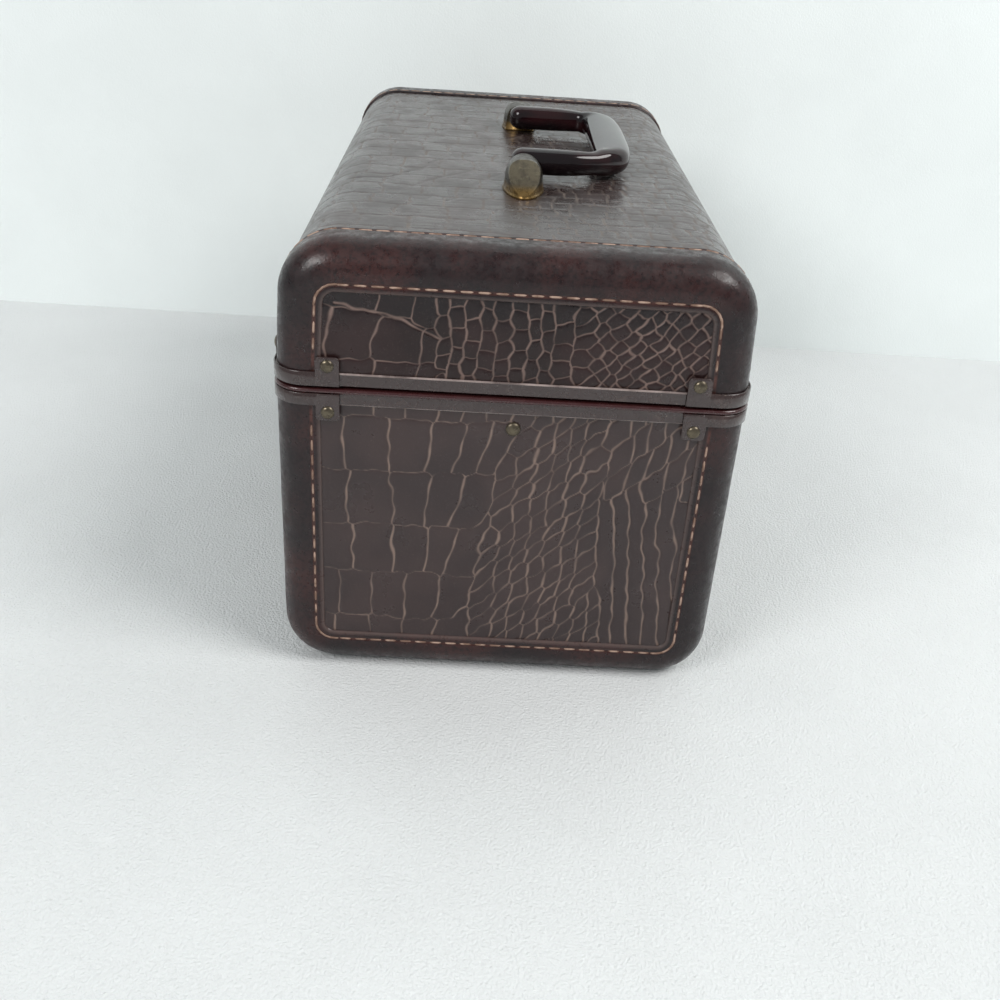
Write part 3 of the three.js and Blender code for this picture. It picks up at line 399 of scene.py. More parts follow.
# %% Presses of the base ends
brick_rows = (4, -13.4, -40.5, -68.5, -95.3, -121, -146)
brick_edges = (
    (-96, -78, -61, -46, -32, -19.5, -8, 1, 10), (-96, -74, -53.8, -36, -22, -11, -2),
    (-94, -72, -53, -35, -22.5, -10), (-92, -69.5, -52, -35.5, -23.5, -11),
    (-95, -77.5, -61, -45, -30, -18), (-96, -79.5, -63, -46, -31, -20),
)


def net_start(v):
    """Where the bricks end and the lozenges begin."""
    return np.interp(v, (-140, -100, -60, -27, -8), (-14, -11, -5.5, 2, 12))


def upright_start(v):
    return np.interp(v, (-140, -95, -60, -30, 0), (49, 46, 44, 46, 42))


def upright_scales(seed):
    """Long upright scales on the right, with short slanting ones above them."""
    draw = np.random.default_rng(seed)
    scales = []
    for k in range(7):
        u = 7.2 * k + 0.7 * draw.uniform(-1, 1)
        v = -93 + draw.uniform(-8, 8)
        scales.append(scale_at(upright_start(v) + 4 + u, v, 3.5, 46, lean=-0.1, power=6))
        for row in range(5):
            v = -40 + 13.5 * row + 7.4 * (k % 2)
            scales.append(scale_at(upright_start(v) + 4.5 + 1.2 * u, v, 4.6, 7.2, 0.1, climb=0.8, power=3))
    return scales


def base_end(seed):
    def in_net(u, v):
        return net_start(v) < u < upright_start(v) and -150 < v < 6

    net = lattice(in_net, 15.5, 4.4, 61, 2.2, seed, pointed=1.6)
    return bricks(brick_rows, brick_edges) + net + upright_scales(seed)


print("base end", len(base_end(4)), "scales")

# %% [markdown]
# The lid's end comes from another part of the skin, with small round scales that stand higher, some large
# ones on the left and a long pale fold that runs down across them. On the top three dark folds run slanting
# away from the handle.

# %% Presses of the lid ends and the long coverings
lid_big_scales = (
    (-71, 24.5, 10, 11), (-71, 5, 9.5, 8.6), (-52, 5, 9, 8.2), (-50.5, 22, 10, 9.4), (-36, 6, 6.6, 7),
    (-72, 45, 12, 8), (-52, 42, 8, 7), (-88, 24, 8, 12), (-38, 38, 6, 6.5), (-37.5, 21, 4.6, 7.6),
)
end_folds = [[(-78, 38), (-60, 35.5), (-50, 32.5), (-42, 29.5), (-33, 26)]]
top_folds = [
    [(-10, 113), (-22, 90), (-28, 66), (-33, 57)], [(-22, 120), (-40, 99), (-53, 80)],
    [(-42, 138), (-50, 115), (-64, 94), (-84, 88)],
]


def lid_end(seed):
    big = [scale_at(u, v, wide, tall, lean=0.12, power=5) for u, v, wide, tall in lid_big_scales]
    columns = lattice(lambda u, v: -33 < u < 24 and 0 < v < 56, 8.8, 6.3, 90, 2.8, seed)
    slanting = lattice(lambda u, v: 29 <= u < 98 and 0 < v < 56, 6.8, 4.9, 47, 2.8, seed + 1, stagger=0.2)
    return big + columns + slanting


def long_covering(half, seed):
    """Three zones round the case: from one edge past the middle, along the top, and down the far side."""
    girth, far = half_girth(half, 0), 2 * half_length
    zones = (-girth, 2, 19, 20), (8, 86, 10, 8.6), (92, girth, 15, 12.5)
    return [
        scale for number, (low, high, tall, wide) in enumerate(zones)
        for scale in brickwork((low, -10), (high, far), tall, wide, seed + number)
    ]


usual_look = dict(faint=0.62, line=0.5, lift=0.34, sink=0.42, round=3.0, folds=(), fold_pale=0.9)
lid_look = dict(faint=0.75, lift=0.5, sink=0.32, round=1.8)


def press(scales, seed, **look):
    return SimpleNamespace(scales=scales, seed=seed, **{**usual_look, **look})


presses = {
    "base_right": press(base_end(4), 4), "base_left": press(base_end(71), 71),
    "lid_right": press(lid_end(31), 31, folds=end_folds, **lid_look),
    "lid_left": press(lid_end(83), 83, **lid_look),
    "lid": press(
        long_covering(lid, 52), 52, faint=0.8, line=0.6, lift=0.09, sink=0.3, folds=top_folds, fold_pale=0,
    ),
    "base": press(long_covering(base, 61), 61, faint=0.5, line=0.7, lift=0.22, sink=0.3),
}
print("scales in each press", {name: len(made.scales) for name, made in presses.items()})

# %% [markdown]
# Each end is a flat panel glued on after the long covering. Its grid stands on the board and the pressing
# lifts it. The creases are kept as an attribute on the mesh, which the material reads for their paler colour.

# %% End panels
panel_hidden = 13
hidden_by_rim = 1.5


def end_panel(half, side_name, side, across_step, down_step):
    """Grid over one end, from under the binding to under the rim."""
    across = half_depth - panel_hidden
    top = half.flange - hidden_by_rim
    bottom = half.height - panel_hidden
    u = np.linspace(-across, across, int(2 * across / across_step) + 1)
    d = np.linspace(top, bottom, int((bottom - top) / down_step) + 1)
    u, d = np.meshgrid(u, d)
    creases, height = skin(u, half.up * d, presses[f"{half.name}_{side_name}"])
    places = side * (half_length + height), side * u, parting + half.up * d
    node = f"{half.name}_end_panel_{side_name}"
    return laid_piece("skin_" + node, half, "croc", places, node, crease=creases)


for half, fine_steps in ((base, (0.42, 0.6)), (lid, (0.36, 0.36))):
    end_panel(half, "left", -1, 0.8, 0.8)
    end_panel(half, "right", 1, *fine_steps)
print("end panels", [len(o.data.polygons) for o in named("skin")])

# %% [markdown]
# The long covering is one sheet that wraps from the front edge over the top, or under the floor, to the back
# edge. Laying it on the former keeps the scales their true size round the corners.

# %% Long coverings
under_binding = 10


def covering(half, along_step, around_step):
    reach = half_length - end_roll - under_binding
    girth = half_girth(half, half.flange - hidden_by_rim)
    x = np.linspace(-reach, reach, int(2 * reach / along_step) + 1)
    s = np.linspace(-girth, girth, int(2 * girth / around_step) + 1)
    x, s = np.meshgrid(x, s)
    creases, height = skin(s, reach - x, presses[half.name])
    node = half.name + "_covering"
    return laid_piece("skin_" + node, half, "croc", (x, *section(half, s, -height)), node, crease=creases)


print("lid covering", len(covering(lid, 0.9, 1.15).data.polygons))
print("base covering", len(covering(base, 1.3, 1.4).data.polygons))

# %% [markdown]
# A leather binding is rolled over the edge of each end: a U on the base, an upside-down U on the lid. It is
# one strip carried round the section. A bevel could round the box instead, but the strip needs its own skived
# edges, the roll, and the two grooves that the stitching lies in.

# %% Bindings
binding_on_side, binding_on_end, skived = 24, 19.5, 0.25
stitch_pitch, stitch_length, thread = 7.4, 5.7, 1.15
side_stitch, end_stitch = 3, {"base": 15.3, "lid": 16}
strip_hub, strip_stop, strip_clear = 140, 0.6, 0.12
roll_length = end_roll * pi / 2
straight_run = binding_on_side - end_roll
strip_width = straight_run + roll_length + binding_on_end - end_roll


def stitch_lines(half):
    return side_stitch, straight_run + roll_length + end_stitch[half.name] - end_roll


def over_edge(q, height):
    """X and inset at q across the strip, from the side edge over the roll to the end panel."""
    turn = np.clip((q - straight_run) / end_roll, 0, pi / 2)
    radius = end_roll + height
    x = half_length - binding_on_side + np.minimum(q, straight_run) + radius * np.sin(turn)
    inset = end_roll - radius * np.cos(turn) + np.maximum(q - straight_run - roll_length, 0)
    return x, inset


def leather_height(half, q, s):
    """Thickness of the strip: skived at both edges, grooved and pierced for the stitches, a little uneven."""
    edge = np.minimum(q, strip_width - q)
    height = skived + (proud - strip_clear - skived) * (1 - np.exp(-edge / 0.45))
    groove = sum(np.exp(-((q - line) / 0.85) ** 2) for line in stitch_lines(half))
    beside_hole = (s / stitch_pitch + 0.5) % 1
    hole = groove ** 2 * np.exp(-(np.minimum(beside_hole, 1 - beside_hole) * stitch_pitch / 0.75) ** 2)
    worn = np.exp(-((strip_width - q - 0.7) / 0.75) ** 2)
    height = height - 0.4 * groove - 0.3 * hole + 0.06 * sway(q, s, 26, 5) * step(edge, 0, 4)
    return height, dict(groove=np.clip(groove, 0, 1), hole=hole, worn=worn)


def strip_samples(half):
    """Places across the strip, closer together at its edges and grooves."""
    lines = stitch_lines(half)
    fine = [np.linspace(line - 2, line + 2, 11) for line in lines]
    edges = [np.array([0, 0.25, 0.6]), strip_width - np.array([0.6, 0.25, 0])]
    between = [np.linspace(lines[0] + 3, lines[1] - 3, 26)]
    return np.unique(np.clip(np.concatenate(fine + edges + between), 0, strip_width))


for half in halves:
    for side_name, side in sides:
        girth = half_girth(half, half.flange - strip_stop)
        q, s = np.meshgrid(strip_samples(half), np.linspace(-girth, girth, int(1.3 * girth)))
        height, wear = leather_height(half, q, s)
        x, inset = over_edge(q, height)
        node = f"{half.name}_binding_{side_name}"
        places = side * x, *section(half, s, inset)
        laid_piece("leather_" + node, half, "binding", places, node, hub_x=side * strip_hub, **wear)
print("strip", round(strip_width, 1), "mm wide, stitched at", [round(line, 1) for line in stitch_lines(base)])

# %% [markdown]
# The stitching is thick tan thread, and each stitch dips into a pierced hole at both ends. Each one is a
# small stretched ball of few faces, laid along the groove, because there are hundreds of them.

# %% Stitches
stitch_sunk, first_stitch = 0.6, 1


def stitch(bm, place, along, out):
    """One stitch at place, pointing along, with its top towards out."""
    ball = bmesh.ops.create_uvsphere(bm, u_segments=8, v_segments=5, radius=1)["verts"]
    across = along.cross(out)
    turn = Matrix((along * stitch_length / 2, across * thread / 2, out * thread / 2)).transposed()
    bmesh.ops.rotate(bm, verts=ball, matrix=Matrix.Rotation(pi / 2, 3, "Y"))
    for vert in ball:
        blunt = abs(vert.co.x) ** 0.5 * (1 if vert.co.x > 0 else -1)
        vert.co = (turn @ Vector((blunt, vert.co.y, vert.co.z - 0.5 * blunt ** 4)) + place) * MM


def stitched_line(bm, half, side, q):
    count = 2 * int(half_girth(half, half.flange + first_stitch) / stitch_pitch) - 1

    def at(s):
        x, inset = over_edge(np.array(q), np.array(proud - stitch_sunk))
        return Vector([float(value) for value in (side * x, *section(half, np.array(s), inset))])

    for k in range(count):
        s = (k - (count - 1) / 2) * stitch_pitch
        along = (at(s + 2) - at(s - 2)).normalized()
        out = Vector((side, 0, 0)) if q > strip_width / 2 else along.cross(Vector((1, 0, 0))) * half.up
        stitch(bm, at(s), along, out.normalized())


for half in halves:
    bm = bmesh.new()
    for _, side in sides:
        for q in stitch_lines(half):
            stitched_line(bm, half, side, q)
    keep(as_mesh(bm, half.name), f"stitches_{half.name}", half.name, "binding")
print("faces of the stitches", [len(o.data.polygons) for o in named("stitches")])

# %% [markdown]
# Lid and base meet in two rims of painted sheet metal. On the lid it is a flat band with a hemmed upper edge,
# and on the base a band with a rounded bead that closes the gap. Each is a section carried round the plan,
# because a plain band with bevelled edges would have neither.

# %% Closure rims
def round_the_plan(profile, samples_in_corner=12):
    """Grid of a profile of (stand-off, height) pairs carried round the plan of the case."""
    line = []
    for quarter, (sx, sy) in enumerate(((1, 1), (-1, 1), (-1, -1), (1, -1))):
        for turn in np.linspace(0, pi / 2, samples_in_corner) + quarter * pi / 2:
            line.append((sx * (half_length - end_roll), sy * (half_depth - end_roll), cos(turn), sin(turn)))
    centre_x, centre_y, way_x, way_y = np.array(line + line[:1]).T[:, :, None]
    off, up = np.array(profile).T
    x, y = centre_x + way_x * (end_roll + off), centre_y + way_y * (end_roll + off)
    return np.stack([x, y, np.broadcast_to(parting + up, x.shape)], axis=-1)


def arc(x, z, radius, start, end, count=6):
    turns = np.linspace(radians(start), radians(end), count)
    return [(x + radius * cos(t), z + radius * sin(t)) for t in turns]


inner_face = -5.7
rim_profiles = {
    "lid": [
        (inner_face, 2.8), (0.15, 2.8), (0.15, 6.3), *arc(0.95, 6.2, 0.62, 180, 0), (1.45, 5.5), (1.45, 1.3),
        *arc(0.9, 1.15, 0.55, 0, -90), (inner_face, 0.6), (inner_face, 2.8),
    ],
    "base": [
        (0.15, -2.8), (0.15, -7.9), *arc(0.95, -7.8, 0.6, 180, 360), (1.45, -7.2), (1.45, -3.3),
        *arc(1.25, -1.75, 1.12, -60, 85, 8), (inner_face, -0.6), (inner_face, 5.8), (-6.2, 6), (-6.8, 5.8),
        (-6.8, -9), (-5.5, -9), (-5.5, -2.8), (0.15, -2.8),
    ],
}
for name, profile in rim_profiles.items():
    bm = faced_out(laid_grid(round_the_plan(profile), (0, 0, parting), ringed=True))
    keep(as_mesh(bm, name), f"rim_band_{name}", name, "rim", name + "_rim")
print("rims", [len(o.data.polygons) for o in named("rim_band")])

# %% [markdown]
# At each corner a thin clip wraps over the rim, with a tab on each face and a domed brass rivet through it.
# The tab is a bevelled plate, and the rivet half of a flattened ball.

# %% Corner clips and rivets
clip_size = SimpleNamespace(thick=0.8, reach=28, tab=10.5, rise=7, stand=proud + 0.15, above=0.75)
clip_near = {"lid": 0.6, "base": 2.95}
rivet_radius, rivet_height, rivet_margin = 3.05, 1.5, 1
tab_thick, tab_round = clip_size.thick + 0.06, 2
corner_hub = 150, 70


def bevelled(bm, edges, width, segments, **kind):
    kind.update(affect="EDGES", profile=0.5, material=-1)
    bmesh.ops.bevel(bm, geom=list(edges), offset=width, segments=segments, **kind)


def plate(bm, width, tall, thick, radius):
    """A plate with rounded corners, lying in X and Z with its back at Y = 0."""
    verts = bmesh.ops.create_cube(bm, size=1)["verts"]
    bmesh.ops.scale(bm, verts=verts, vec=(width, thick, tall))
    bmesh.ops.translate(bm, verts=verts, vec=(0, -thick / 2, 0))
    upright = [e for e in bm.edges if abs((e.verts[0].co - e.verts[1].co).y) > thick / 2]
    bevelled(bm, upright, radius, 5)
    bm.normal_update()
    front = [e for e in bm.edges if all(v.co.y < -thick * 0.9 for v in e.verts)]
    rim = [e for e in front if any(abs(f.normal.y) < 0.5 for f in e.link_faces)]
    bevelled(bm, rim, 0.35 * thick, 2)


def domed(bm, radius, height):
    """A rivet head facing -Y with its foot at Y = 0."""
    verts = bmesh.ops.create_uvsphere(bm, u_segments=20, v_segments=12, radius=1)["verts"]
    bmesh.ops.delete(bm, geom=[v for v in verts if v.co.z < -0.05], context="VERTS")
    bmesh.ops.scale(bm, verts=bm.verts[:], vec=(radius, radius, height))
    bmesh.ops.rotate(bm, verts=bm.verts[:], matrix=Matrix.Rotation(pi / 2, 3, "X"))


def placed_copy(target, make, sizes, turn, place):
    """Makes a small shape by itself, then turns, moves and adds it to the target mesh, in metres."""
    part = bmesh.new()
    make(part, *sizes)
    bmesh.ops.transform(part, verts=part.verts[:], matrix=Matrix.Translation(place) @ turn.to_4x4())
    bmesh.ops.scale(part, verts=part.verts[:], vec=(MM, MM, MM))
    loose = as_mesh(faced_out(part), "loose", smooth=False)
    target.from_mesh(loose)
    bpy.data.meshes.remove(loose)


def corner_faces(sx, sy):
    """Turn and place of the end face and of the long face beside a corner."""
    stand, half_tab = clip_size.stand, clip_size.tab / 2
    end_place = Vector((sx * (half_length + stand), sy * (half_depth - clip_size.reach + half_tab), 0))
    side_place = Vector((sx * (half_length - clip_size.reach + half_tab), sy * (half_depth + stand), 0))
    side_turn = 0 if sy < 0 else pi
    return (Matrix.Rotation(sx * pi / 2, 3, "Z"), end_place), (Matrix.Rotation(side_turn, 3, "Z"), side_place)


def clip_band(half, sx, sy):
    """The band of a clip, bent round its corner."""
    near, far = clip_near[half.name], half.flange + clip_size.above
    path = [(half_length, half_depth - clip_size.reach, 1, 0)]
    for turn in np.linspace(0, pi / 2, 12):
        c, d = cos(turn), sin(turn)
        path.append((half_length - end_roll * (1 - c), half_depth - end_roll * (1 - d), c, d))
    path.append((half_length - clip_size.reach, half_depth, 0, 1))
    inner, outer = clip_size.stand, clip_size.stand + clip_size.thick
    profile = [
        (inner, near), (outer - 0.2, near), (outer, near + 0.2), (outer, far - 0.25), (outer - 0.25, far),
        (inner, far), (inner, near),
    ]
    return np.array([
        [(sx * (x + i * c), sy * (y + i * d), parting + half.up * z) for i, z in profile]
        for x, y, c, d in path
    ], dtype=float)


def clip(half, side_name, sx, depth_name, sy):
    bm = laid_grid(clip_band(half, sx, sy), (sx * corner_hub[0], sy * corner_hub[1], parting), ringed=True)
    filled(bm)
    faced_out(bm)
    heads = bmesh.new()
    near, top = clip_near[half.name], half.flange + clip_size.above + clip_size.rise
    tab_sizes = clip_size.tab, top - near, tab_thick, tab_round
    for turn, place in corner_faces(sx, sy):
        middle = Vector((0, 0, parting + half.up * (near + top) / 2))
        placed_copy(bm, plate, tab_sizes, turn, place + middle)
        rivet = Vector((0, 0, parting + half.up * (top - rivet_radius - rivet_margin)))
        lift = turn @ Vector((0, -clip_size.thick, 0))
        placed_copy(heads, domed, (rivet_radius, rivet_height), turn, place + lift + rivet)
    node = f"{half.name}_clip_{depth_name}_{side_name}"
    keep(as_mesh(bm, node), "metal_" + node, half.name, "rim", node)
    keep(as_mesh(heads, node), "rivets_" + node, half.name, "brass")


for half in halves:
    for side_name, sx in sides:
        for depth_name, sy in (("front", -1), ("back", 1)):
            clip(half, side_name, sx, depth_name, sy)
print("clips", len(named("metal_")))

# %% [markdown]
# The handle is a moulded resin bow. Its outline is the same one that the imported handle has, but its section
# is a soft oval all the way, so it is laid as one grid: sections along the bow, each a closed ring.

# %% Handle
pivot_back, pin_radius = 1.8, 2.1
pivot = Vector((0, pivot_back, size_of("handle_pin_right")[0].z + pin_radius))
arm_high = size_of("handle")[1]
arm_outer, arm_width, reach, grip_width = arm_high.x, 12.5, arm_high.y - pivot.y, 20.5
arm_inner, inner_corner, elbow, half_thick = arm_outer - arm_width, 5, 15, 6.3


def cubic(points, share):
    """Place at a share of the way along a curve of four points."""
    a, b, c, d = (np.array(p, dtype=float) for p in points)
    left = 1 - share
    return a * left ** 3 + 3 * b * share * left ** 2 + 3 * c * share ** 2 * left + d * share ** 3


def bow_sections():
    """Outer and inner places of one half of the bow, from the rounded arm end to the middle of the grip."""
    knee = (arm_outer - 18, reach - 3)
    shoulder = [(arm_outer, elbow), (arm_outer, reach - 27), (arm_outer - 8, reach - 8), knee]
    grip = [knee, (arm_outer - 25, reach), (15, reach), (0, reach)]
    outer, inner = [], []
    for turn in np.linspace(0.06, pi / 2, 9):
        half_width = arm_width / 2 * sin(turn)
        y = -arm_width / 2 * cos(turn)
        outer.append((arm_outer - arm_width / 2 + half_width, y))
        inner.append((arm_outer - arm_width / 2 - half_width, y))
    for share in np.linspace(0.2, 1, 5):
        outer.append((arm_outer, elbow * share))
        inner.append((arm_inner, elbow * share))
    corner = reach - grip_width - inner_corner
    for share in np.linspace(0.08, 1, 12):
        outer.append(tuple(cubic(shoulder, share)))
        if share < 0.5:
            inner.append((arm_inner, elbow + (corner - elbow) * share / 0.5))
        else:
            turn = (share - 0.5) / 0.5 * pi / 2
            inner.append((arm_inner - inner_corner * (1 - cos(turn)), corner + inner_corner * sin(turn)))
    for share in np.linspace(0.08, 1, 12):
        outer.append(tuple(cubic(grip, share)))
        inner.append(((arm_inner - inner_corner) * (1 - share), reach - grip_width))
    return [np.array(line + [(-x, y) for x, y in line[-2::-1]]) for line in (outer, inner)]


def squared(turns, power=0.8):
    return np.sign(turns) * np.abs(turns) ** power


def bow_grid(ring=28):
    turns = np.linspace(0, 2 * pi, ring + 1)
    wide, high = squared(np.cos(turns)), squared(np.sin(turns))
    rows = []
    for out, into in zip(*bow_sections()):
        middle, half_width = (out + into) / 2, (out - into) / 2
        ends = min(1, np.hypot(*half_width) / (arm_width / 2))
        thick = half_thick * ends ** 0.7 * (1 + 0.1 * (middle[1] / reach) ** 2)
        x, y = (place + half * wide for place, half in zip(middle, half_width))
        rows.append(np.stack([x, pivot.y + y, pivot.z + thick * high], axis=-1))
    return np.array(rows)


bow = laid_grid(bow_grid(), (0, pivot.y + reach / 2, pivot.z), ringed=True)
filled(bow)
handle = keep(as_mesh(faced_out(bow), "handle"), "handle_bow", "handle", "resin", "handle")
print("handle bow", [round(x / MM, 1) for x in handle.dimensions])

# %% [markdown]
# Each post is a cast bullet shape whose nose is cut away by a sloped facet. The rings are laid first, and
# then two planes cut the facet and the flat face that the handle swings against, as a file would. What lies
# below the facet is tagged as shaded, and the brass paints it dark as painted shade, so the facet reads
# paler.

# %% Handle posts
post_low, post_high = size_of("handle_post_right")
post_size = SimpleNamespace(
    length=34, nose=22, width=19.5, power=1.85, face_foot=-2.2, face_run=22.5, face_round=1.1, play=0.3,
    rise=(0, 0.05, 0.16, 0.34, 0.5, 0.64, 0.76, 0.86, 0.93, 0.975, 1),
    across=(1.06, 1.0, 0.985, 0.97, 0.95, 0.9, 0.83, 0.72, 0.58, 0.4, 0.16),
    along=(1.03, 0.995, 0.99, 0.985, 0.98, 0.965, 0.95, 0.91, 0.85, 0.78, 0.66),
)


def post_rings(middle, foot, top, steps=48):
    turns = np.linspace(0, 2 * pi, steps + 1)
    c, d = np.cos(turns), np.sin(turns)
    stretch = (np.abs(c) ** post_size.power + np.abs(d) ** post_size.power) ** (-1 / post_size.power)
    rows = []
    for rise, across, along in zip(post_size.rise, post_size.across, post_size.along):
        x = middle + post_size.nose * along * c * stretch
        y = pivot.y + post_size.width / 2 * across * d * stretch
        rows.append(np.stack([x, y, np.full_like(x, foot + (top - foot) * rise)], axis=-1))
    return np.array(rows)


def cut_flat(bm, place, normal):
    """Cuts away what lies beyond a plane and closes the cut."""
    bmesh.ops.bisect_plane(
        bm, geom=bm.verts[:] + bm.edges[:] + bm.faces[:], plane_co=Vector(place) * MM,
        plane_no=Vector(normal), clear_outer=True, dist=1e-7,
    )
    return filled(bm)


def softened(bm, faces, width):
    """Rounds the edges round the given faces, each once and always in the same order."""
    edges = dict.fromkeys(e for f in faces for e in f.edges)
    rim = [e for e in edges if e.is_manifold and e.calc_face_angle(0) > radians(20)]
    bevelled(bm, rim, width * MM, 3, clamp_overlap=True)


def handle_post(side_name, side):
    foot, top = post_low.z, post_high.z
    middle = post_low.x + post_size.length - post_size.nose
    face_x = middle + post_size.nose - post_size.face_foot
    bm = laid_grid(post_rings(middle, foot, top), (middle, pivot.y, (foot + top) / 2), ringed=True)
    filled(bm)
    run = Vector((top - foot, 0, post_size.face_run)).normalized()
    softened(bm, cut_flat(bm, (face_x, 0, foot), run), post_size.face_round)
    cut_flat(bm, (arm_outer + post_size.play, 0, foot), (-1, 0, 0))
    if side < 0:
        bmesh.ops.scale(bm, verts=bm.verts[:], vec=(-1, 1, 1))
    node = f"handle_post_{side_name}"
    mesh = as_mesh(faced_out(bm), node)
    edge = Vector((side * face_x, 0, foot)) * MM
    run.x *= side
    # Painted shade: the body below the facet is tagged here, and the brass paints it dark.
    below = np.array([(edge - vert.co).dot(run) for vert in mesh.vertices]) / MM
    tag(mesh, "shaded", step(below, 0.05, 1.2))
    return keep(mesh, "cast_" + node, "lid", "brass", node)


for side_name, side in sides:
    print(side_name, "post", [round(x / MM, 1) for x in handle_post(side_name, side).dimensions])

# %% [markdown]
# Hinges, hasps, locks and stays are stamped and turned metal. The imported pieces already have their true
# shapes, so a merged copy of each gets its edges broken by a small bevel, as tumbling does in a factory.

# %% Metalwork
def dressed(node, slot, width):
    """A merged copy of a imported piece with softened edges, which stands for it."""
    packed = frame["nodes"][node]
    bm = bmesh.new()
    bm.from_mesh(packed.data)
    bmesh.ops.remove_doubles(bm, verts=bm.verts[:], dist=0.01 * MM)
    bmesh.ops.dissolve_limit(bm, angle_limit=radians(1), verts=bm.verts[:], edges=bm.edges[:])
    piece = keep(as_mesh(bm, node), "worked_" + node, body_of(packed)[0], slot, node)
    soften = piece.modifiers.new("soften", "BEVEL")
    soften.width, soften.segments, soften.harden_normals = width * MM, 2, True
    soften.limit_method, soften.angle_limit = "ANGLE", radians(38)


worked = (
    ("steel", 0.2, ("hinge_pin", "hasp_pin", "handle_pin")),
    ("steel", 0.22, ("base_hinge_leaf", "lid_hinge_leaf", "hasp_plate", "stay_bracket", "stay_bar")),
    ("brass", 0.3, ("hasp", "lock_plate")), ("brass", 0.15, ("lock_slide",)), ("brass", 0.2, ("stay_stud",)),
)
for side_name, _ in sides:
    for slot, width, nodes in worked:
        for node in nodes:
            dressed(f"{node}_{side_name}", slot, width)
print("metalwork", len(named("worked_")))

# %% [markdown]
# The stay studs are riveted through the ends, so each shows the same domed head as the clips outside.

# %% Stud heads
head_radius, head_height, washer = 3.4, 1.75, 0.1
for side_name, side in sides:
    stud_low, stud_high = size_of(f"stay_stud_{side_name}")
    middle = (stud_low + stud_high) / 2
    heads = bmesh.new()
    place = Vector((side * (half_length + washer), middle.y, middle.z))
    placed_copy(heads, domed, (head_radius, head_height), Matrix.Rotation(side * pi / 2, 3, "Z"), place)
    keep(as_mesh(heads, side_name), f"stud_head_{side_name}", "base", "brass")
print("stud at", [round(x, 1) for x in middle])

# %% [markdown]
# Inside, both halves are lined with quilted satin over thin wadding: one long piece that follows the walls
# and a flat piece at each end. The quilting is a diamond of stitched valleys in the grid of each piece, and
# the valleys are darkened as painted shade.

# %% Quilted linings
lining_inset, diamond, puff, seam_share = 6.25, 25.0, 0.75, 0.09


def quilted(a, b):
    """Height of the wadding, full between the stitched lines of the diamonds, and how near a line is, for the
    painted shade in the valleys.
    """
    full = np.abs(np.sin(pi * (a + b) / diamond) * np.sin(pi * (a - b) / diamond))
    return puff * full ** 0.55, np.exp(-(full / seam_share) ** 2)


def lining_wrap(half, start):
    radius = end_roll - lining_inset
    run = half_length - end_roll
    reach = run + radius * pi / 2
    girth = half_girth(half, start)
    x, s = np.meshgrid(np.linspace(-reach, reach, int(reach)), np.linspace(-girth, girth, int(1.1 * girth)))
    lift, seam = quilted(x, s)
    turn = np.clip((np.abs(x) - run) / radius, 0, pi / 2)
    inner = radius - lift
    place_x = np.sign(x) * (np.minimum(np.abs(x), run) + inner * np.sin(turn))
    places = place_x, *section(half, s, end_roll - inner * np.cos(turn))
    return laid_piece(
        f"satin_{half.name}_walls", half, "lining", places, half.name + "_lining", way=-1, seam=seam,
    )


def lining_end(half, start, side_name, side):
    across = half_depth - end_roll
    rows = np.linspace(start, half.height - end_roll, int(0.6 * (half.height - start)))
    y, t = np.meshgrid(np.linspace(-across, across, int(across)), rows)
    narrow = 1 - (half_depth - half.closed) / half_depth * t / half.height
    lift, seam = quilted(y, t)
    places = side * (half_length - lining_inset - lift), y * narrow, parting + half.up * t
    return laid_piece(f"satin_{half.name}_{side_name}", half, "lining", places, way=-1, seam=seam)


for half, start in ((base, 9.3), (lid, 6.3)):
    lining_wrap(half, start)
    for side_name, side in sides:
        lining_end(half, start, side_name, side)
print("quilted pieces", len(named("satin_")))

# %% [markdown]
# The lift-out tray and its cleats are covered board, and the mirror sits in a shallow frame in the lid. Their
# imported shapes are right, so they get the same broken edges as the metalwork.

# %% Tray, cleats and mirror
for node, slot, width in (
    ("tray", "tray", 0.5), ("tray_cleat_front", "board", 0.6), ("tray_cleat_back", "board", 0.6),
    ("mirror_frame", "rim", 0.7), ("mirror", "mirror", 0.15),
):
    dressed(node, slot, width)

# %% [markdown]
# Finishes. Each is a Principled shader with a few nodes, which one class adds. Patterns read Object
# coordinates, which are metres here, so sizes in millimetres are turned into noise scales. Colours are laid
# over a ground one by one, as paint is.

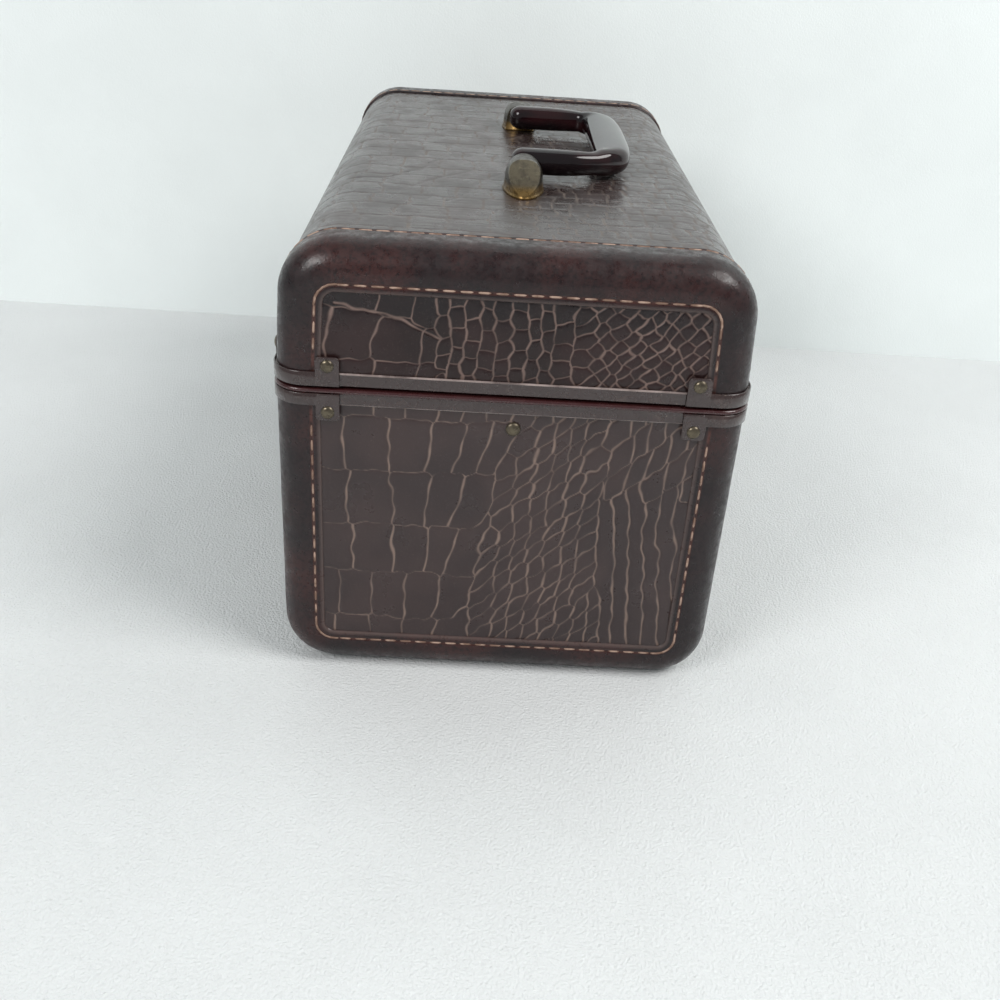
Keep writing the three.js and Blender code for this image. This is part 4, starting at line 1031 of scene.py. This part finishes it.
# %% Finish helpers
class Finish:
    """A Principled finish. Its methods add the nodes that vary it."""

    def __init__(self, name, color, roughness, metallic=0.0, coat=0.0, coat_roughness=0.05, specular=0.5):
        self.material = bpy.data.materials.new(name)
        self.material.use_nodes = True
        self.tree = self.material.node_tree
        self.shader = self.tree.nodes["Principled BSDF"]
        self.put(self.shader, {
            "Base Color": (*color, 1), "Roughness": roughness, "Metallic": metallic, "Coat Weight": coat,
            "Coat Roughness": coat_roughness, "Specular IOR Level": specular,
        })

    def put(self, node, sockets):
        """Gives each of a node's sockets a number, a colour or another node's output."""
        for socket, value in sockets.items():
            if isinstance(value, bpy.types.NodeSocket):
                self.tree.links.new(value, node.inputs[socket])
            else:
                node.inputs[socket].default_value = value
        return node.outputs

    def add(self, kind, sockets, **settings):
        node = self.tree.nodes.new("ShaderNode" + kind)
        for name, setting in settings.items():
            setattr(node, name, setting)
        return self.put(node, sockets)

    def grain(self, size, detail=3.0, stretch=(1, 1, 1), rough=0.55):
        """Noise with grains of size millimetres on the piece's own coordinates."""
        place = self.add("TexCoord", {})["Object"]
        scaled = self.add("Mapping", {"Vector": place, "Scale": stretch})["Vector"]
        noise = {"Vector": scaled, "Scale": 1 / (size * MM), "Detail": detail, "Roughness": rough}
        return self.add("TexNoise", noise)["Fac"]

    def kept(self, name):
        """A value that the mesh carries for each point."""
        return self.add("Attribute", {}, attribute_name=name)["Fac"]

    def math(self, operation, *values):
        return self.add("Math", dict(enumerate(values)), operation=operation)["Value"]

    def times(self, *values):
        return self.math("MULTIPLY", *values)

    def plus(self, *values):
        return self.math("ADD", *values)

    def between(self, value, low, high, to_low=0.0, to_high=1.0):
        span = {"Value": value, "From Min": low, "From Max": high, "To Min": to_low, "To Max": to_high}
        return self.add("MapRange", span, interpolation_type="SMOOTHSTEP")["Result"]

    def patches(self, size, detail, low, high, to_low=0.0, to_high=1.0, **kind):
        """Patches of noise: to_low where it is under low, to_high where it is over high."""
        return self.between(self.grain(size, detail, **kind), low, high, to_low, to_high)

    def tint(self, share, one, two):
        """Colour one where share is 0, two where it is 1. Either may be a colour or a socket."""
        one, two = ((*color, 1) if isinstance(color, tuple) else color for color in (one, two))
        return self.add("Mix", {"Factor": share, 6: one, 7: two}, data_type="RGBA")[2]

    def tones(self, one, two, *patches, **kind):
        return self.tint(self.patches(*patches, **kind), one, two)

    def speckled(self, ground, color, strength, *patches, **kind):
        """Patches of a colour over the ground."""
        return self.tint(self.times(self.patches(*patches, **kind), strength), ground, color)

    def near_height(self, height, width):
        """1 at a height in millimetres, falling to 0 at a distance of width from it."""
        place = self.add("TexCoord", {})["Object"]
        up = self.add("SeparateXYZ", {"Vector": place})["Z"]
        distance = self.math("ABSOLUTE", self.math("SUBTRACT", up, height * MM))
        return self.between(distance, 0.5 * width * MM, width * MM, 1, 0)

    def done(self, color=None, gloss=None, height=None, rise=0.0):
        """The material, with its colour, its roughness and a bump of rise millimetres."""
        found = {"Base Color": color, "Roughness": gloss}
        if height:
            bump = self.add("Bump", {"Height": height, "Distance": rise * MM, "Strength": 1})["Normal"]
            found.update({"Normal": bump, "Coat Normal": bump})
        self.put(self.shader, {socket: value for socket, value in found.items() if value})
        return self.material


print("finish helpers ready")

# %% [markdown]
# The pressed leatherette is a glossy dark brown film, rubbed paler where it is creased. The crease attribute
# drives the colour, an uneven noise keeps some creases faint, and a fine pore grain breaks the gloss.

# %% Leatherette
def leatherette(name, dark, pale, line, shade_height=None, streaked=False):
    """The film in one tone. It may be darkened near a height as painted shade, or streaked across the case.
    """
    made = Finish(name, pale, 0.34, coat=0.12, coat_roughness=0.15)
    scales = made.tones(dark, pale, 38, 2, 0.38, 0.64)
    if shade_height:
        made.put(made.shader, {"Coat Weight": 0.05, "Specular IOR Level": 0.38})
        # Painted shade: dark clouds near the top of the lid's ends, under the binding.
        clouds = made.patches(22, 3, 0.25, 0.6, 0.35, 0.95)
        painted_shade = made.times(made.near_height(shade_height, 26), clouds)
        scales = made.tint(painted_shade, scales, (0.008, 0.004, 0.005))
    scales = made.speckled(scales, (0.13, 0.09, 0.08), 0.22, 1.0, 4, 0.55, 0.75, rough=0.7)
    crease = made.between(made.kept("crease"), 0.08, 0.8)
    shown = made.times(crease, made.patches(9, 3, 0.3, 0.62, 0.68, 1.0))
    gloss = made.patches(16, 5, 0.35, 0.7, *((0.22, 0.37) if streaked else (0.27, 0.43)))
    gloss = made.plus(gloss, made.times(shown, 0.25))
    pores = made.times(made.grain(0.9, 3, rough=0.6), 0.5)
    fine = made.plus(pores, made.times(made.grain(3.5, 3), 0.5))
    if streaked:
        streaks = made.times(made.grain(2.4, 3, stretch=(1, 0.1, 1)), 1.6)
        fine = made.plus(fine, streaks)
    return made.done(made.tint(shown, scales, line), gloss, fine, 0.1)


print("leatherette ready for", [o.name for o in named("skin")])

# %% [markdown]
# The bindings are smooth leather: near black with oxblood showing through where hands and corners have worn
# it, black mottling, a reddish gutter under the stitches, and painted shade in the stitch holes. One noise
# would look like dirt, so each kind of wear has its own size of patch.

# %% Binding leather and thread
def binding_leather():
    made = Finish("oxblood leather", (0.03, 0.014, 0.014), 0.36, coat=0.2, coat_roughness=0.1, specular=0.32)
    ground = made.tones((0.013, 0.007, 0.008), (0.040, 0.013, 0.012), 60, 3, 0.42, 0.68)
    ground = made.speckled(ground, (0.005, 0.003, 0.004), 0.75, 2.1, 7, 0.46, 0.62, rough=0.8)
    ground = made.speckled(ground, (0.15, 0.11, 0.105), 0.4, 1.1, 4, 0.62, 0.78, rough=0.8)
    ground = made.tint(made.times(made.kept("worn"), 0.55), ground, (0.14, 0.10, 0.09))
    ground = made.tint(made.between(made.kept("groove"), 0.2, 0.9), ground, (0.075, 0.024, 0.018))
    # Painted shade: the stitch holes are painted near black.
    ground = made.tint(made.kept("hole"), ground, (0.004, 0.002, 0.002))
    pores = made.plus(made.times(made.grain(0.8, 3), 0.5), made.grain(4, 4))
    return made.done(ground, made.patches(5, 6, 0.3, 0.7, 0.2, 0.6, rough=0.7), pores, 0.14)


def thread_finish():
    made = Finish("tan thread", (0.36, 0.24, 0.18), 0.75)
    ground = made.tones((0.20, 0.12, 0.085), (0.42, 0.29, 0.225), 5, 3, 0.4, 0.62)
    return made.done(ground, None, made.grain(0.35, 2), 0.12)


print("leather ready for", [o.name for o in named("leather")])

# %% [markdown]
# Four metals: brown enamel on the rims and clips, antique brass on rivets and locks, nickel on the hidden
# hinges and stays, and the silvered mirror. Their wear could be painted on an image, but noise at several
# sizes covers any piece without a seam. The rim hems also get a painted highlight, and the handle posts get
# painted shade on their bodies and a painted golden reflection at their feet.

# %% Metals
lid_hem, bead, base_hem = parting + 6.6, parting - 1.75, parting - 8.3


def enamel(name, hemmed):
    """Brown paint on sheet metal. A hemmed band is rubbed bright on its folded edges, with a painted
    highlight along them, and red on its bead.
    """
    made = Finish(name, (0.055, 0.034, 0.031), 0.3, metallic=0.1, coat=0.6, coat_roughness=0.08)
    ground = made.tones((0.034, 0.019, 0.018), (0.062, 0.038, 0.034), 9, 5, 0.52, 0.72, rough=0.7)
    ground = made.speckled(ground, (0.2, 0.16, 0.13), 0.7, 1.6, 4, 0.64, 0.72, rough=0.8)
    if hemmed:
        ground = made.tint(made.near_height(bead, 1.6), ground, (0.04, 0.006, 0.007))
        # Wear and painted highlight: bright lines along the lid hem and the base hem.
        hems = made.plus(made.near_height(lid_hem, 0.6), made.near_height(base_hem, 0.5))
        rubbed_and_highlit = made.patches(14, 3, 0.3, 0.62, 0.3, 0.95)
        ground = made.tint(made.times(hems, rubbed_and_highlit), ground, (0.36, 0.29, 0.27))
    return made.done(ground, made.patches(5, 4, 0.3, 0.7, 0.14, 0.36), made.grain(2.2, 4), 0.05)


def antique_brass():
    made = Finish("antique brass", (0.22, 0.17, 0.10), 0.34, metallic=0.85)
    ground = made.tones((0.14, 0.118, 0.082), (0.088, 0.073, 0.055), 3.5, 5, 0.4, 0.66, rough=0.7)
    ground = made.speckled(ground, (0.035, 0.028, 0.022), 0.7, 0.9, 4, 0.62, 0.74, rough=0.8)
    # Painted shade: the post bodies below their facets are painted dark.
    ground = made.tint(made.kept("shaded"), ground, (0.042, 0.033, 0.022))
    # Painted reflection: a golden glint painted round the feet of the posts, at the height of the lid's top.
    ground = made.tint(made.near_height(parting + lid.height, 6), ground, (0.20, 0.125, 0.045))
    return made.done(ground, made.patches(2.5, 5, 0.3, 0.7, 0.24, 0.42), made.grain(1.6, 4), 0.03)


def nickel():
    made = Finish("worn nickel", (0.4, 0.37, 0.32), 0.3, metallic=1.0)
    ground = made.tones((0.42, 0.385, 0.33), (0.24, 0.21, 0.17), 8, 5, 0.4, 0.7)
    gloss = made.patches(1.2, 3, 0.3, 0.7, 0.22, 0.45, stretch=(0.15, 1, 1))
    return made.done(ground, gloss, made.grain(0.6, 2, stretch=(0.1, 1, 1)), 0.03)


def silvered():
    made = Finish("silvered glass", (0.88, 0.9, 0.91), 0.02, metallic=1.0)
    return made.done(gloss=made.patches(30, 4, 0.45, 0.8, 0.015, 0.07))


print("metal for", len(named("metal")) + len(named("worked")), "pieces")

# %% [markdown]
# The handle is polished resin, almost black with red in it. Satin, paper-covered board and plywood finish the
# inside. Each is a ground in two tones with a fine bump, which is all that shows from a step away.

# %% Resin, satin, paper and plywood
def resin():
    made = Finish("oxblood resin", (0.022, 0.005, 0.006), 0.1, coat=0.15, coat_roughness=0.04, specular=0.38)
    ground = made.tones((0.005, 0.002, 0.003), (0.018, 0.004, 0.005), 12, 4, 0.4, 0.65, stretch=(1, 0.4, 1))
    return made.done(ground, made.patches(3, 5, 0.35, 0.75, 0.05, 0.15), made.grain(7, 3), 0.03)


def satin():
    made = Finish("dusty rose satin", (0.46, 0.27, 0.21), 0.42)
    made.put(made.shader, {"Sheen Weight": 0.5, "Sheen Roughness": 0.4})
    ground = made.tones((0.50, 0.30, 0.24), (0.40, 0.225, 0.175), 45, 3, 0.35, 0.7)
    # Painted shade: the satin is darkened along the stitched valleys of the quilting.
    ground = made.tint(made.times(made.kept("seam"), 0.7), ground, (0.17, 0.085, 0.065))
    threads = [made.grain(0.5, 2, stretch=way) for way in ((0.2, 1, 1), (1, 0.2, 0.2))]
    return made.done(ground, None, made.plus(*threads), 0.06)


def fibrous(name, color, roughness, one, two, patches, fine, rise, **kind):
    """Board or paper in two tones of its fibres."""
    made = Finish(name, color, roughness)
    ground = made.tones(one, two, *patches, **kind)
    kind.pop("rough", None)
    return made.done(ground, None, made.grain(*fine, **kind), rise)


finishes = {
    "croc": leatherette("leatherette", (0.026, 0.014, 0.014), (0.038, 0.021, 0.020), (0.23, 0.16, 0.13)),
    "dark_croc": leatherette(
        "darker leatherette", (0.013, 0.005, 0.005), (0.024, 0.010, 0.010), (0.20, 0.135, 0.115),
        shade_height=parting + 52,
    ),
    "cover": leatherette(
        "covering", (0.030, 0.020, 0.019), (0.040, 0.026, 0.025), (0.115, 0.088, 0.074), streaked=True,
    ),
    "rim": enamel("hemmed enamel", True), "clip": enamel("clip enamel", False),
    "binding": binding_leather(), "thread": thread_finish(), "brass": antique_brass(), "steel": nickel(),
    "mirror": silvered(), "resin": resin(), "lining": satin(),
    "tray": fibrous(
        "rose paper", (0.42, 0.25, 0.2), 0.62, (0.45, 0.27, 0.215), (0.35, 0.205, 0.16),
        (2.2, 5, 0.4, 0.7), (0.7, 4), 0.08, rough=0.7,
    ),
    "board": fibrous(
        "thin plywood", (0.42, 0.27, 0.15), 0.6, (0.46, 0.31, 0.17), (0.31, 0.19, 0.1),
        (3, 4, 0.35, 0.65), (0.8, 3), 0.1, stretch=(0.06, 1, 1),
    ),
}
print("finishes", sorted(finishes))

# %% [markdown]
# Every piece now takes the finish of its slot. A few kinds have one of their own: the thread, the clips,
# whose paint has no rubbed and highlit hem, and the leatherette, which is darker on the lid's ends, with
# painted shade near their top, and streaked on the long coverings.

# %% Dress every piece
own_finish = {
    "stitches": "thread", "metal": "clip", "base_box": "board", "lid_box": "board",
    "skin_lid_end": "dark_croc", "skin_lid_covering": "cover", "skin_base_covering": "cover",
}
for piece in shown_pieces():
    own = [slot for start, slot in own_finish.items() if piece.name.startswith(start)]
    slot = own[0] if own else finish_slots[piece.name]
    piece.data.materials.clear()
    piece.data.materials.append(finishes[slot])

# %% [markdown]
# The stage is a pale cloth on a table and a pale wall behind, both far larger than the view. They carry the
# background, so the lamps only have to light the case. Seen from its back a stage plane is clear, so the wall
# doesn't hide the case from someone who walks round it.

# %% Stage
def one_sided(made):
    """Makes a finish clear on the back of its faces."""
    back = made.add("NewGeometry", {})["Backfacing"]
    clear = made.add("BsdfTransparent", {})["BSDF"]
    either = made.add("MixShader", {"Fac": back, 1: made.shader.outputs["BSDF"], 2: clear})["Shader"]
    made.put(made.tree.nodes["Material Output"], {"Surface": either})


def stage_plane(name, turn, place, color, bumpy, size=4):
    bm = bmesh.new()
    bmesh.ops.create_grid(bm, x_segments=1, y_segments=1, size=size)
    bmesh.ops.transform(bm, verts=bm.verts[:], matrix=Matrix.Translation(place) @ turn.to_4x4())
    piece = linked(name, as_mesh(bm, name, smooth=False))
    made = Finish(name, color, 0.9)
    ground = made.tones(color, tuple(0.95 * c for c in color), 160, 3, 0.3, 0.7)
    weave = made.plus(made.grain(1.3, 3), made.times(made.grain(40, 4), 0.8))
    piece.data.materials.append(made.done(ground, None, weave, bumpy))
    one_sided(made)


cloth_below = Vector((0, 0, -0.0002))
wall_behind = Vector((-0.286, 0, 0))
wall_turn = Matrix.Rotation(radians(-0.63), 3, "Z") @ Matrix.Rotation(pi / 2, 3, "Y")
stage_plane("table_cloth", Matrix.Identity(3), cloth_below, (0.745, 0.765, 0.77), 1.0)
stage_plane("wall", wall_turn, wall_behind, (0.90, 0.95, 0.945), 0.2)
print("stage", [o.name for o in named("table_cloth") + named("wall")])

# %% [markdown]
# The light is a bright cloudy day from a window: an even world, one large soft lamp high on the right, whose
# shadow falls on the wall at the left, and a weaker one on the left for the rolled corners.

# %% Light
world = bpy.data.worlds.new("daylight")
world.use_nodes = True
world.node_tree.nodes["Background"].inputs["Color"].default_value = (0.95, 0.98, 1.0, 1)
world.node_tree.nodes["Background"].inputs["Strength"].default_value = 0.36
scene.world = world


def soft_lamp(name, place, target, size, power, color):
    lamp_data = bpy.data.lights.new(name, "AREA")
    lamp_data.shape, lamp_data.size, lamp_data.energy, lamp_data.color = "DISK", size, power, color
    lamp = linked(name, lamp_data)
    lamp.location = place
    lamp.rotation_euler = (Vector(target) - Vector(place)).to_track_quat("-Z", "Y").to_euler()


soft_lamp("window", (0.7, 1.3, 1.7), (0, 0, 0.1), 1.1, 29, (1, 0.99, 0.97))
soft_lamp("bounce", (1.3, -1.1, 1.25), (0, 0, 0.15), 0.9, 17, (1, 0.99, 0.98))
scene.view_settings.view_transform = "Standard"
